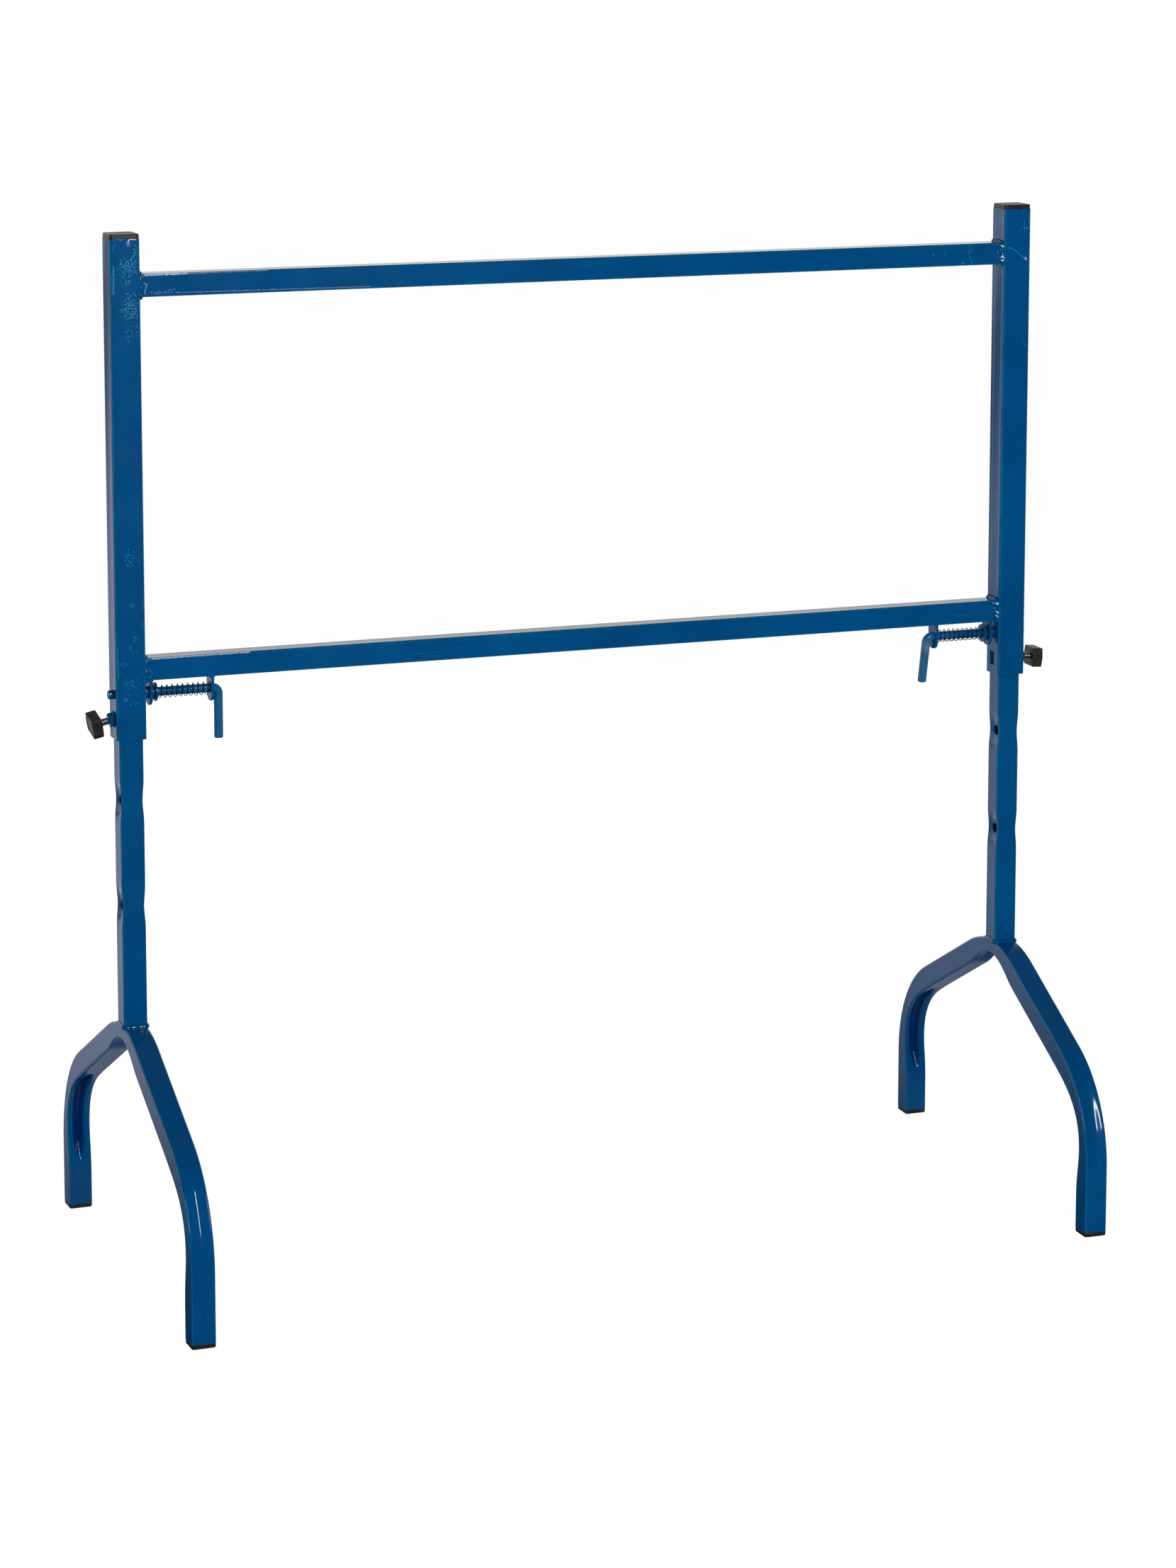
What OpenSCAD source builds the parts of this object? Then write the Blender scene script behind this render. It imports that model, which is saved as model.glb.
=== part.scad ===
// Adjustable builders' trestle. Two uprights and two crossbars are welded into a frame,
// which stands on two legs. Each leg is a tube that slides in an upright and a bent bow
// with two feet. A sprung pin and a clamp screw hold each leg at its height.
// Lengths are in millimetres. X runs along the crossbars, Z is up and the floor is Z = 0.

/* [Frame] */
// Distance between the centre lines of the two uprights
frame_w = 1260; // [800:10:2000]
// Outside width of an upright's square tube
upright_size = 40; // [38:0.5:60]
// Wall of an upright
upright_wall = 2.5; // [1.5:0.1:4]
// Outside corner radius of an upright
upright_round = 4; // [3:0.25:6]
// Length of an upright
upright_len = 650; // [620:5:900]
// Outside width of a crossbar's square tube
bar_size = 30; // [26:0.5:36]
// Wall of a crossbar
bar_wall = 2; // [1.2:0.1:4]
// Outside corner radius of a crossbar
bar_round = 3; // [2:0.25:5]
// Distance from the top of the uprights down to the upper crossbar's centre
upper_bar_drop = 61; // [30:0.5:150]
// Distance from the foot of the uprights up to the lower crossbar's centre
lower_bar_rise = 90.5; // [86:0.5:160]

/* [Plastic caps] */
// Height of the head of a cap on an upright
cap_head = 6; // [3:0.5:12]
// Height of the head of a cap under a leg
foot_head = 6; // [3:0.5:12]
// How far the head of a cap on an upright stays inside the outline of the tube
cap_inset = 0.5; // [0:0.1:1.5]
// How far the head of a cap under a leg stays inside the outline of the tube
foot_inset = 0.2; // [0:0.1:1.5]
// Chamfer round the outer edge of a cap's head
cap_chamfer = 1.4; // [0.4:0.1:2.4]
// Length of a cap's plug inside its tube
cap_plug = 16; // [10:1:30]
// Gap between a cap's gripping fins and the wall of its tube
cap_fit = 0.1; // [0.05:0.05:0.5]
// Depth of the gripping fins round a cap's plug
cap_fin = 1.6; // [0.5:0.1:3]

/* [Legs] */
// Gap all round between a leg's tube and the bore of its upright, when centred
leg_play = 1.5; // [0.8:0.1:3]
// Gap that the tight right clamp leaves between its leg's tube and the upright's inner wall
leg_seat = 0.6; // [0.6:0.1:0.8]
// Wall of a leg's tube and bow
leg_wall = 2; // [1.2:0.1:3]
// Outside corner radius of a leg's tube and bow
leg_round = 3; // [2.5:0.25:5]
// Distance between the centre lines of the two feet of one leg
foot_gap = 600; // [480:10:900]
// Height of the top of a leg's bow above the floor
bow_h = 337; // [300:1:500]
// Slope of a bow's limbs, in degrees below level
limb_slope = 27; // [15:1:40]
// Radius of the centre line at the top of a bow
apex_r = 140; // [60:5:200]
// Radius of the centre line where a bow's limbs turn down to the feet
bend_r = 150; // [60:5:170]
// How far the inner wall is pressed in under the top of a bow
apex_crush = 14; // [0:0.5:18]
// Length of bow, each way from its top, over which that wall is pressed in
apex_crush_len = 85; // [40:5:150]
// How far the inner wall is pressed in at a bow's lower bends
bend_crush = 13; // [0:0.5:16]
// Length of bow, each way from where a lower bend is pressed in most, over which it is pressed in
bend_crush_len = 100; // [40:5:150]
// Distance from the start of a lower bend to where it is pressed in most
bend_crush_at = 105; // [30:5:130]
// How far the outer wall sinks at a bow's lower bends
bend_sink = 3; // [0:0.1:4]
// Turn of the left leg in the play of its upright, in degrees
left_twist = 0.8; // [-1.5:0.1:1.5]
// Turn of the right leg in the play of its upright, in degrees
right_twist = -1.1; // [-1.5:0.1:1.5]

/* [Height holes] */
// Number of holes along a leg's tube
hole_count = 4; // [3:1:6]
// Distance from one hole to the next
hole_pitch = 140; // [80:5:160]
// Height of the lowest hole above the top of the bow
lowest_hole = 161; // [150:1:260]
// Hole that the pins sit in, counted from the lowest
pin_hole = 3; // [2:1:3]
// Length of tube above the highest hole
tube_end = 30; // [20:1:60]
// Gap all round between a pin and a leg's hole
hole_play = 1; // [0.4:0.1:2]
// Depth of the pressed dent round a hole
dent_depth = 1.8; // [0.4:0.1:3]
// Length of that dent along the tube
dent_len = 56; // [40:1:70]

/* [Locking pins] */
// Diameter of the pin rod
pin_d = 12; // [10:0.5:14]
// Distance from the lower crossbar's underside down to the pin's axis
pin_drop = 17.5; // [16.5:0.5:28]
// Gap all round between a pin and the holes in the lugs and the upright
pin_play = 0.5; // [0.2:0.1:0.9]
// How far a pin stands out past the upright
pin_stub = 6.5; // [4:0.5:16]
// Distance from a pin's axis down to the end of its handle
handle_drop = 67; // [45:1:110]
// Radius inside the bend of a pin
pin_bend = 2; // [1:0.5:8]
// How far the left handle is swung, in degrees from hanging
left_swing = 0; // [-30:1:30]
// How far the right handle is swung, in degrees from hanging
right_swing = 12; // [-30:1:30]
// Thickness of a lug
lug_t = 4; // [3:0.5:8]
// Width of a lug
lug_w = 25; // [22:0.5:26]
// Distance from a pin's axis down to the end of a lug
lug_tail = 17; // [15:0.5:24]
// Gap between an upright and its guide lug, which the guide bush fills
lug_stand = 6.5; // [4:0.5:12]
// Clear distance between a pin's two lugs
lug_gap = 78.5; // [70:0.5:120]
// Wall of a guide bush
bush_wall = 1.5; // [1:0.25:3]
// Outside diameter of a washer
washer_d = 25; // [22:0.5:30]
// Thickness of a washer
washer_t = 2.5; // [1.5:0.25:4]
// Diameter of the roll pin that holds the washer on the pin rod
roll_d = 4; // [3:0.5:5]
// Length of that roll pin
roll_len = 20; // [18:1:24]
// Wall of the roll pin
roll_wall = 0.8; // [0.5:0.1:1.2]
// Gap at rest between parts that turn or slide past each other
run_gap = 0.3; // [0.2:0.05:0.4]

/* [Springs] */
// Diameter of the spring wire
wire_d = 1.3; // [1:0.1:1.8]
// Gap all round between a pin and the inside of its spring
spring_play = 1.45; // [1:0.05:2.5]
// Number of curls in a spring
spring_turns = 10; // [6:1:12]

/* [Clamp screws] */
// Diameter of the clamp screw
screw_d = 10; // [8:0.5:12]
// Gap all round between a clamp screw and its nut
screw_play = 0.2; // [0.1:0.05:0.4]
// Width of a clamp nut across its flats
nut_flats = 17; // [16:0.5:22]
// Height of a clamp nut
nut_h = 6.5; // [5:0.5:12]
// Height of the left clamp screw above the foot of its upright
left_rise = 25.5; // [20:0.5:26]
// Height of the right clamp screw above the foot of its upright
right_rise = 21.5; // [20:0.5:26]
// Droop of the left clamp screw, in degrees
left_droop = 12.5; // [0:0.5:14]
// Droop of the right clamp screw, in degrees
right_droop = 3.5; // [0:0.5:14]
// Diameter of the plain point of a clamp screw
point_d = 7; // [5:0.5:8]
// Length of that point
point_len = 3; // [2:0.5:4]
// Gap left between a clamp nut and its knob when the screw is hard in
knob_stand = 9; // [4:0.5:16]
// Length of a knob over its two points
knob_len = 33; // [30:0.5:50]
// Length of a knob's two flats
knob_flat = 28.5; // [20:0.5:29.5]
// Width of a knob over its flats
knob_w = 26.5; // [20:0.5:36]
// Thickness of a knob
knob_t = 14; // [12:0.5:20]
// Depth of a clamp screw's seat in its knob
knob_seat = 10; // [6:0.5:11]
// Turn of the left knob, in degrees from upright
left_turn = 72; // [0:1:180]
// Turn of the right knob, in degrees from upright
right_turn = 91; // [0:1:180]
// Width of the window in an upright's inner wall, opposite the clamp screw
window_w = 16; // [10:0.5:20]
// Height of that window
window_h = 19; // [10:0.5:24]
// Height of the window's centre above the foot of its upright
window_rise = 21.5; // [20:0.5:24]

/* [Hidden] */
$fn = 48;

blue = [0, 0.27, 0.45];
black = [0.1, 0.1, 0.1];
zinc = [0.7, 0.72, 0.7];
dark_steel = [0.25, 0.23, 0.21];
left = -1;
right = 1;
front = -1;
rear = 1;
// How far a cut runs past the face that it opens
past = 1;

// Tubes
upright_bore = upright_size - 2 * upright_wall;
leg_size = upright_bore - 2 * leg_play;
leg_bore = leg_size - 2 * leg_wall;
// The right clamp pushes its leg's tube towards the middle, and the left tube stands centred
right_push = leg_play - leg_seat;
function push(side) = side == right ? right_push : 0;
function twist(side) = side == right ? right_twist : left_twist;
bar_len = frame_w - upright_size;

// Heights
pin_rise = lower_bar_rise - bar_size / 2 - pin_drop;
upright_z = bow_h + lowest_hole + (pin_hole - 1) * hole_pitch - pin_rise;
tube_top = bow_h + lowest_hole + (hole_count - 1) * hole_pitch + tube_end;

// Places along a pin, from the upright's centre line towards the middle of the frame
pin_bore_d = pin_d + 2 * pin_play;
guide_lug_x = upright_size / 2 + lug_stand;
spring_lug_x = guide_lug_x + lug_t + lug_gap;
roll_x = guide_lug_x + lug_t + run_gap + roll_d / 2;
washer_x = roll_x + roll_d / 2 + run_gap;
spring_x = washer_x + washer_t + run_gap;
bend_x = spring_lug_x + lug_t + run_gap;
pin_bend_r = pin_d / 2 + pin_bend;
pin_tip = upright_size / 2 + pin_stub;
pin_chamfer = pin_d / 10;

// The spring's centre line
coil_r = pin_d / 2 + spring_play + wire_d / 2;
coil_x = spring_x + wire_d;
coil_len = spring_lug_x - wire_d - coil_x;
coil_rings = 8;
wire_sides = 6;

// The bow's centre line, in the plane of a leg
apex_z = bow_h - leg_size / 2 - apex_r;
limb_y = [apex_r * sin(limb_slope), foot_gap / 2 - bend_r * (1 - sin(limb_slope))];
limb_top_z = apex_z + apex_r * cos(limb_slope);
limb_z = [limb_top_z, limb_top_z - (limb_y[1] - limb_y[0]) * tan(limb_slope)];
bend_z = limb_z[1] - bend_r * cos(limb_slope);
apex_len = apex_r * limb_slope * PI / 180;
limb_len = (limb_y[1] - limb_y[0]) / cos(limb_slope);
bend_len = bend_r * (90 - limb_slope) * PI / 180;
bend_start = apex_len + limb_len;
bend_end = bend_start + bend_len;
bow_end = bend_end + bend_z - foot_head;
apex_steps = 6;
limb_steps = 7;
bend_steps = 10;
foot_steps = 5;
// Shares along a side, and angles round a corner, at which a bow's wall has points
outer_points = [[-0.5, 0, 0.5], [-90, -45, 0]];
inner_points = [[-0.5, 0, 0.5], [-90, 0]];
// Share by which the middle of a pressed wall goes deeper than its edges
groove = 0.4;

// Height holes
hole_d = pin_d + 2 * hole_play;
dent_r = (pow(dent_len / 2, 2) + pow(dent_depth, 2)) / (2 * dent_depth);

// Clamp screws, measured along the screw from the upright's outer face
screw_reach = upright_wall + 2 * leg_play + nut_h + knob_stand;
function clamp_rise(side) = side == right ? right_rise : left_rise;
function droop(side) = side == right ? right_droop : left_droop;
function leg_face(side) = upright_wall + leg_play + push(side);
function tip_depth(side) =
    (leg_face(side) - run_gap - point_d / 2 * sin(droop(side))) / cos(droop(side));
function knob_face(side) = screw_reach - tip_depth(side);

// Places children at an upright: its axis is Z, its foot is Z = 0 and +X points inwards
module at_upright(side)
    translate([side * frame_w / 2, 0, upright_z])
        rotate([0, 0, side == right ? 180 : 0])
            children();

// Places children at a leg: its axis is Z and the floor is Z = 0
module at_leg(side)
    translate([side * (frame_w / 2 - push(side)), 0, 0])
        rotate([0, 0, twist(side)])
            children();

// Places children on a pin's axis, which becomes X
module on_pin(side)
    at_upright(side)
        translate([0, 0, pin_rise])
            children();

// Places children on a clamp screw: +Z points outwards from the upright's face
module on_clamp(side)
    at_upright(side)
        translate([-upright_size / 2, 0, clamp_rise(side)])
            rotate([0, -90 - droop(side), 0])
                children();

module along_x() rotate([0, 90, 0]) children();

module round_square(size, r) {
    square([size, size - 2 * r], center = true);
    square([size - 2 * r, size], center = true);
    for (x = [-1, 1], y = [-1, 1])
        translate([x, y] * (size / 2 - r))
            circle(r);
}

module tube(size, wall, r, len)
    linear_extrude(len)
        difference() {
            round_square(size, r);
            round_square(size - 2 * wall, max(r - wall, 0.5));
        }

// Frame

module upright(side)
    color(blue)
        difference() {
            at_upright(side)
                tube(upright_size, upright_wall, upright_round, upright_len);
            on_pin(side)
                along_x()
                    cylinder(d = pin_bore_d, h = upright_size + 2 * past, center = true);
            on_clamp(side)
                cylinder(d = screw_d + 2 * pin_play, h = 4 * upright_wall, center = true);
            at_upright(side)
                translate([upright_size / 2, 0, window_rise])
                    cube([2 * upright_wall + past, window_w, window_h], center = true);
        }

module crossbar(z)
    color(blue)
        translate([-bar_len / 2, 0, upright_z + z])
            along_x()
                tube(bar_size, bar_wall, bar_round, bar_len);

// A flat lug with a round end, welded under the lower crossbar
module lug(side, x)
    color(blue)
        on_pin(side)
            translate([x, 0, 0])
                rotate([90, 0, 90])
                    linear_extrude(lug_t)
                        difference() {
                            union() {
                                translate([-lug_w / 2, lug_w / 2 - lug_tail])
                                    square([lug_w, lug_tail - lug_w / 2 + pin_drop]);
                                translate([0, lug_w / 2 - lug_tail])
                                    circle(d = lug_w);
                            }
                            circle(d = pin_bore_d);
                        }

module guide_bush(side)
    color(blue)
        on_pin(side)
            translate([upright_size / 2, 0, 0])
                along_x()
                    linear_extrude(lug_stand)
                        difference() {
                            circle(d = pin_bore_d + 2 * bush_wall);
                            circle(d = pin_bore_d);
                        }

// A chamfered hexagon nut, cut square to the upright where it is welded on
module clamp_nut(side) {
    h = 2 * nut_h;
    r = nut_flats / 2;
    color(blue)
        difference() {
            on_clamp(side)
                translate([0, 0, -nut_h])
                    intersection() {
                        cylinder(r = r / cos(30), h = h, $fn = 6);
                        cylinder(r1 = r + h / tan(30), r2 = r, h = h);
                    }
            on_clamp(side)
                cylinder(d = screw_d + 2 * screw_play, h = 2 * h, center = true);
            at_upright(side)
                translate([-upright_size / 2, -upright_size / 2, clamp_rise(side) - nut_flats])
                    cube([upright_size, upright_size, 2 * nut_flats]);
        }
}

// Plastic caps

module chamfered_side(size, h)
    linear_extrude(size, center = true)
        polygon([
            [-size / 2, 0], [size / 2, 0], [size / 2, h - cap_chamfer],
            [size / 2 - cap_chamfer, h], [-size / 2 + cap_chamfer, h], [-size / 2, h - cap_chamfer]
        ]);

// A cap with its head above Z = 0 and its finned plug below
module cap(size, bore, r, head, inset) {
    head_size = size - 2 * inset;
    fin_size = bore - 2 * cap_fit;
    fin_step = cap_plug / 4;
    intersection() {
        linear_extrude(head)
            round_square(head_size, r);
        rotate([90, 0, 0])
            chamfered_side(head_size, head);
        rotate([90, 0, 90])
            chamfered_side(head_size, head);
    }
    translate([0, 0, -cap_plug])
        linear_extrude(cap_plug)
            round_square(fin_size - 2 * cap_fin, max(r - cap_fin, 0.5));
    for (i = [0 : 2])
        translate([0, 0, -cap_plug + (i + 0.5) * fin_step])
            linear_extrude(fin_step / 3)
                round_square(fin_size, max(r - cap_fin, 0.5));
}

module top_cap(side)
    color(black)
        at_upright(side)
            translate([0, 0, upright_len])
                cap(upright_size, upright_bore, upright_round, cap_head, cap_inset);

module foot(side, end)
    color(black)
        at_leg(side)
            translate([0, end * foot_gap / 2, foot_head])
                rotate([180, 0, 0])
                    cap(leg_size, leg_bore, leg_round, foot_head, foot_inset);

// Locking pins

// Points of a spring's centre line round X: straight ends and a helix between them
function coil_point(i) =
    let (turn = i / coil_rings)
    [coil_x + coil_len * turn / spring_turns, coil_r * sin(360 * turn), coil_r * cos(360 * turn)];

coil = [
    [spring_x, 0, coil_r],
    for (i = [0 : spring_turns * coil_rings]) coil_point(i),
    [spring_lug_x, coil_r * sin(360 * spring_turns), coil_r * cos(360 * spring_turns)]
];

function unit(v) = v / norm(v);

// Direction of a path of points at one of them: along its end, or between its neighbours
function heading(path, i) =
    i == 0 ? unit(path[1] - path[0]) :
    i == len(path) - 1 ? unit(path[i] - path[i - 1]) :
    unit(unit(path[i + 1] - path[i]) + unit(path[i] - path[i - 1]));

// A ring of wire round one point of the coil, set out from the pin's axis
function wire_ring(i) =
    let (
        p = coil[i],
        along = heading(coil, i),
        out = unit([0, p[1], p[2]]),
        side = unit(cross(along, out)),
        up = cross(side, along)
    )
    [for (k = [0 : wire_sides - 1])
        let (a = 360 * k / wire_sides)
        p + wire_d / 2 * (cos(a) * up + sin(a) * side)];

function middle(ring) = [for (p = ring) 1] * ring / len(ring);

// A closed tube of triangles through rings of points, with flat ends
module ring_tube(rings) {
    n = len(rings[0]);
    end = (len(rings) - 1) * n;
    first_middle = end + n;
    last_middle = first_middle + 1;
    polyhedron(
        concat([for (ring = rings) each ring], [middle(rings[0]), middle(rings[len(rings) - 1])]),
        [
            for (i = [0 : n : end - n], k = [0 : n - 1])
                let (a = i + k, b = i + (k + 1) % n)
                each [[a, b + n, b], [a, a + n, b + n]],
            for (k = [0 : n - 1]) [first_middle, k, (k + 1) % n],
            for (k = [0 : n - 1]) [last_middle, end + (k + 1) % n, end + k]
        ]
    );
}

// Least gap of the spring's wire to itself, between points half a curl or more apart
coil_gap = min([
    for (i = [0 : len(coil) - 1], j = [i + coil_rings / 2 : 1 : len(coil) - 1])
        norm(coil[i] - coil[j])
]) - wire_d;
echo(least_gap_between_spring_curls = coil_gap);

module spring(side)
    color(dark_steel)
        on_pin(side)
            ring_tube([for (i = [0 : len(coil) - 1]) wire_ring(i)]);

module washer(side)
    color(blue)
        on_pin(side)
            translate([washer_x, 0, 0])
                along_x()
                    linear_extrude(washer_t)
                        difference() {
                            circle(d = washer_d);
                            circle(d = pin_bore_d);
                        }

// Turns children about a pin's axis, so that the handle hangs at its swing
module swung(side, swing)
    on_pin(side)
        rotate([side == right ? -swing : swing, 0, 0])
            children();

// A rod bent square: its straight end goes through the upright, its handle hangs down
module locking_pin(side, swing)
    color(blue)
        swung(side, swing)
            difference() {
                union() {
                    translate([-pin_tip, 0, 0])
                        along_x()
                            cylinder(d1 = pin_d - 2 * pin_chamfer, d2 = pin_d, h = pin_chamfer);
                    translate([pin_chamfer - pin_tip, 0, 0])
                        along_x()
                            cylinder(d = pin_d, h = pin_tip + bend_x - pin_chamfer);
                    translate([bend_x, 0, -pin_bend_r])
                        rotate([90, 0, 0])
                            rotate_extrude(angle = 90)
                                translate([pin_bend_r, 0])
                                    circle(d = pin_d);
                    translate([bend_x + pin_bend_r, 0, pin_chamfer - handle_drop])
                        cylinder(d = pin_d, h = handle_drop - pin_bend_r - pin_chamfer);
                    translate([bend_x + pin_bend_r, 0, -handle_drop])
                        cylinder(d1 = pin_d - 2 * pin_chamfer, d2 = pin_d, h = pin_chamfer);
                }
                translate([roll_x, 0, 0])
                    cylinder(d = roll_d, h = 2 * pin_d, center = true);
            }

// A rolled sleeve with a slit, pressed through the pin rod
module roll_pin(side, swing)
    color(zinc)
        swung(side, swing)
            translate([roll_x, 0, 0])
                linear_extrude(roll_len, center = true)
                    difference() {
                        circle(d = roll_d);
                        circle(d = roll_d - 2 * roll_wall);
                        translate([0, -roll_wall / 2])
                            square([roll_d, roll_wall]);
                    }

// Clamp screws

module clamp_screw(side)
    color(zinc)
        on_clamp(side)
            translate([0, 0, -tip_depth(side)]) {
                cylinder(d = point_d, h = point_len);
                translate([0, 0, point_len])
                    cylinder(d = screw_d, h = screw_reach - point_len + knob_seat - run_gap);
            }

module clamp_knob(side, turn) {
    l = knob_len / 2;
    w = knob_w / 2;
    half = [[knob_flat / 2, -w], [l, 0], [knob_flat / 2, w]];
    color(black)
        on_clamp(side)
            translate([0, 0, knob_face(side)])
                rotate([0, 0, turn])
                    difference() {
                        linear_extrude(knob_t)
                            polygon(concat(half, -half));
                        translate([0, 0, -past])
                            cylinder(d = screw_d + screw_play / 2, h = knob_seat + past);
                    }
}

// Legs

// A square tube with a dented hole through both side walls at each height
module leg_tube(side) {
    holes = [for (i = [0 : hole_count - 1]) bow_h + lowest_hole + i * hole_pitch];
    color(blue)
        at_leg(side)
            difference() {
                translate([0, 0, bow_h - leg_wall])
                    linear_extrude(tube_top - bow_h + leg_wall)
                        round_square(leg_size, leg_round);
                difference() {
                    translate([0, 0, bow_h - leg_wall - past])
                        linear_extrude(tube_top - bow_h + leg_wall + 2 * past)
                            round_square(leg_bore, max(leg_round - leg_wall, 0.5));
                    dents(holes, dent_r + leg_wall);
                }
                dents(holes, dent_r);
                for (z = holes)
                    translate([0, 0, z])
                        along_x()
                            cylinder(d = hole_d, h = leg_size + 2 * past, center = true);
                translate([0, 0, apex_z])
                    along_x()
                        cylinder(r = apex_r + leg_size / 2, h = leg_size + 2 * past, center = true);
            }
}

// Wide rollers that press a shallow dent into both side walls at each hole
module dents(holes, r)
    for (z = holes, x = [-1, 1])
        translate([x * (leg_size / 2 - dent_depth + dent_r), 0, z])
            rotate([90, 0, 0])
                cylinder(r = r, h = leg_size + 2 * past, center = true);

// Rises from 0 to 1 as t goes from 0 to 1, with no corner at either end
function ease(t) = let (u = min(max(t, 0), 1)) u * u * (3 - 2 * u);

// Y, Z and slope of half a bow's centre line, at a distance along it from its top
function bow_at(s) =
    s < apex_len ?
        let (a = limb_slope * s / apex_len)
        [apex_r * sin(a), apex_z + apex_r * cos(a), a] :
    s < bend_start ?
        let (t = (s - apex_len) / limb_len)
        [limb_y[0] + t * (limb_y[1] - limb_y[0]), limb_z[0] + t * (limb_z[1] - limb_z[0]), limb_slope] :
    s < bend_end ?
        let (a = limb_slope + (90 - limb_slope) * (s - bend_start) / bend_len)
        [foot_gap / 2 - bend_r * (1 - sin(a)), bend_z + bend_r * cos(a), a] :
    [foot_gap / 2, bend_z - (s - bend_end), 90];

// How far the inner wall is pressed in there, and the outer wall sunk
function near_bend(s) = 1 - ease(abs(s - bend_start - bend_crush_at) / bend_crush_len);
function pressed(s) = apex_crush * (1 - ease(s / apex_crush_len)) + bend_crush * near_bend(s);
function sunk(s) = bend_sink * near_bend(s);

function steps(from, to, n) = [for (i = [0 : n - 1]) from + (to - from) * i / n];

// One side and one corner of a rounded square, then all four
function quarter(h, r, points) = [
    for (t = points[0]) [t * (h - r), -h],
    for (a = points[1]) [h - r + r * cos(a), r - h + r * sin(a)]
];
function outline(h, r, points) = [
    for (q = [0 : 3], p = quarter(h, r, points))
        [p[0] * cos(90 * q) - p[1] * sin(90 * q), p[0] * sin(90 * q) + p[1] * cos(90 * q)]
];

// A ring of the bow's wall on its rear or front half, with its inner side pressed in
function bow_ring(half, s, h, r, points) =
    let (c = bow_at(s))
    [for (p = outline(h, r, points))
        let (
            low = (h - p[1]) / (2 * h),
            mid = 1 - pow(p[0] / h, 2),
            n = p[1] + pressed(s) * low * low * (1 + groove * mid) - sunk(s) * pow(1 - low, 4) * mid
        )
        [p[0], half * (c[0] + n * sin(c[2])), c[1] + n * cos(c[2])]];

// The bow's wall from foot to foot, run on past both ends by a given length
module bow_solid(h, r, points, extra) {
    down = concat(
        steps(0, apex_len, apex_steps),
        steps(apex_len, bend_start, limb_steps),
        steps(bend_start, bend_end, bend_steps),
        steps(bend_end, bow_end, foot_steps),
        [bow_end + extra]
    );
    last = len(down) - 1;
    ring_tube([
        for (i = [last : -1 : 0]) bow_ring(rear, down[i], h, r, points),
        for (i = [1 : last]) bow_ring(front, down[i], h, r, points)
    ]);
}

module leg_bow(side)
    color(blue)
        at_leg(side)
            difference() {
                bow_solid(leg_size / 2, leg_round, outer_points, 0);
                bow_solid(leg_bore / 2, max(leg_round - leg_wall, 0.5), inner_points, past);
            }

upright(left);  // left_upright
upright(right);  // right_upright
crossbar(upright_len - upper_bar_drop);  // upper_crossbar
crossbar(lower_bar_rise);  // lower_crossbar
lug(left, guide_lug_x);  // left_guide_lug
lug(right, guide_lug_x);  // right_guide_lug
lug(left, spring_lug_x);  // left_spring_lug
lug(right, spring_lug_x);  // right_spring_lug
guide_bush(left);  // left_guide_bush
guide_bush(right);  // right_guide_bush
clamp_nut(left);  // left_clamp_nut
clamp_nut(right);  // right_clamp_nut
top_cap(left);  // left_top_cap
top_cap(right);  // right_top_cap
spring(left);  // left_spring
spring(right);  // right_spring
washer(left);  // left_washer
washer(right);  // right_washer
locking_pin(left, left_swing);  // left_locking_pin
locking_pin(right, right_swing);  // right_locking_pin
roll_pin(left, left_swing);  // left_roll_pin
roll_pin(right, right_swing);  // right_roll_pin
clamp_screw(left);  // left_clamp_screw
clamp_screw(right);  // right_clamp_screw
clamp_knob(left, left_turn);  // left_clamp_knob
clamp_knob(right, right_turn);  // right_clamp_knob
leg_tube(left);  // left_leg_tube
leg_tube(right);  // right_leg_tube
leg_bow(left);  // left_leg_bow
leg_bow(right);  // right_leg_bow
foot(left, front);  // left_front_foot
foot(left, rear);  // left_rear_foot
foot(right, front);  // right_front_foot
foot(right, rear);  // right_rear_foot
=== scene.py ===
import random
from math import asin, atan2, ceil, copysign, cos, pi, radians, sin, sqrt, tan

import bmesh
import bpy
from mathutils import Matrix, Vector


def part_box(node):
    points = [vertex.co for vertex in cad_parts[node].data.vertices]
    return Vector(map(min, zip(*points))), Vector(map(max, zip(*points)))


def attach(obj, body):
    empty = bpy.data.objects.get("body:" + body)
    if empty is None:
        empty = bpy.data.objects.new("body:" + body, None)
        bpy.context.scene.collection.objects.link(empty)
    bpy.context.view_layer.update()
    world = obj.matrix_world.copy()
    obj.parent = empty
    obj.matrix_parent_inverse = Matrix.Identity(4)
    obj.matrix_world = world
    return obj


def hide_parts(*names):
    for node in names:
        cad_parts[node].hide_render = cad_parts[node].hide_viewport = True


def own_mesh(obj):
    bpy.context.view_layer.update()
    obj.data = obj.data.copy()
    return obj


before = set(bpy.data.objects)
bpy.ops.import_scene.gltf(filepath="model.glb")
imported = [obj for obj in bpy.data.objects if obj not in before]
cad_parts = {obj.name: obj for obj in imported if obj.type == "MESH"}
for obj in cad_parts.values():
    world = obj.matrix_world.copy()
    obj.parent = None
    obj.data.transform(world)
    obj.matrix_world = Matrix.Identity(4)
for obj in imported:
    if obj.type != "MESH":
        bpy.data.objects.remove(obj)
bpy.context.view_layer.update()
sides = {"left": -1, "right": 1}
mm = 0.001

# where the trestle's main lines run
trestle = {
    "halfSpan": 630 * mm,
    "uprightSize": 40 * mm,
    "uprightFoot": 720 * mm,
    "pinRise": 58 * mm,
    "clampRise": {"left": 25.5 * mm, "right": 21.5 * mm},
    "clampDroop": {"left": 12.5, "right": 3.5},
    "pinSwing": {"left": 0, "right": 12},
}


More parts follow.
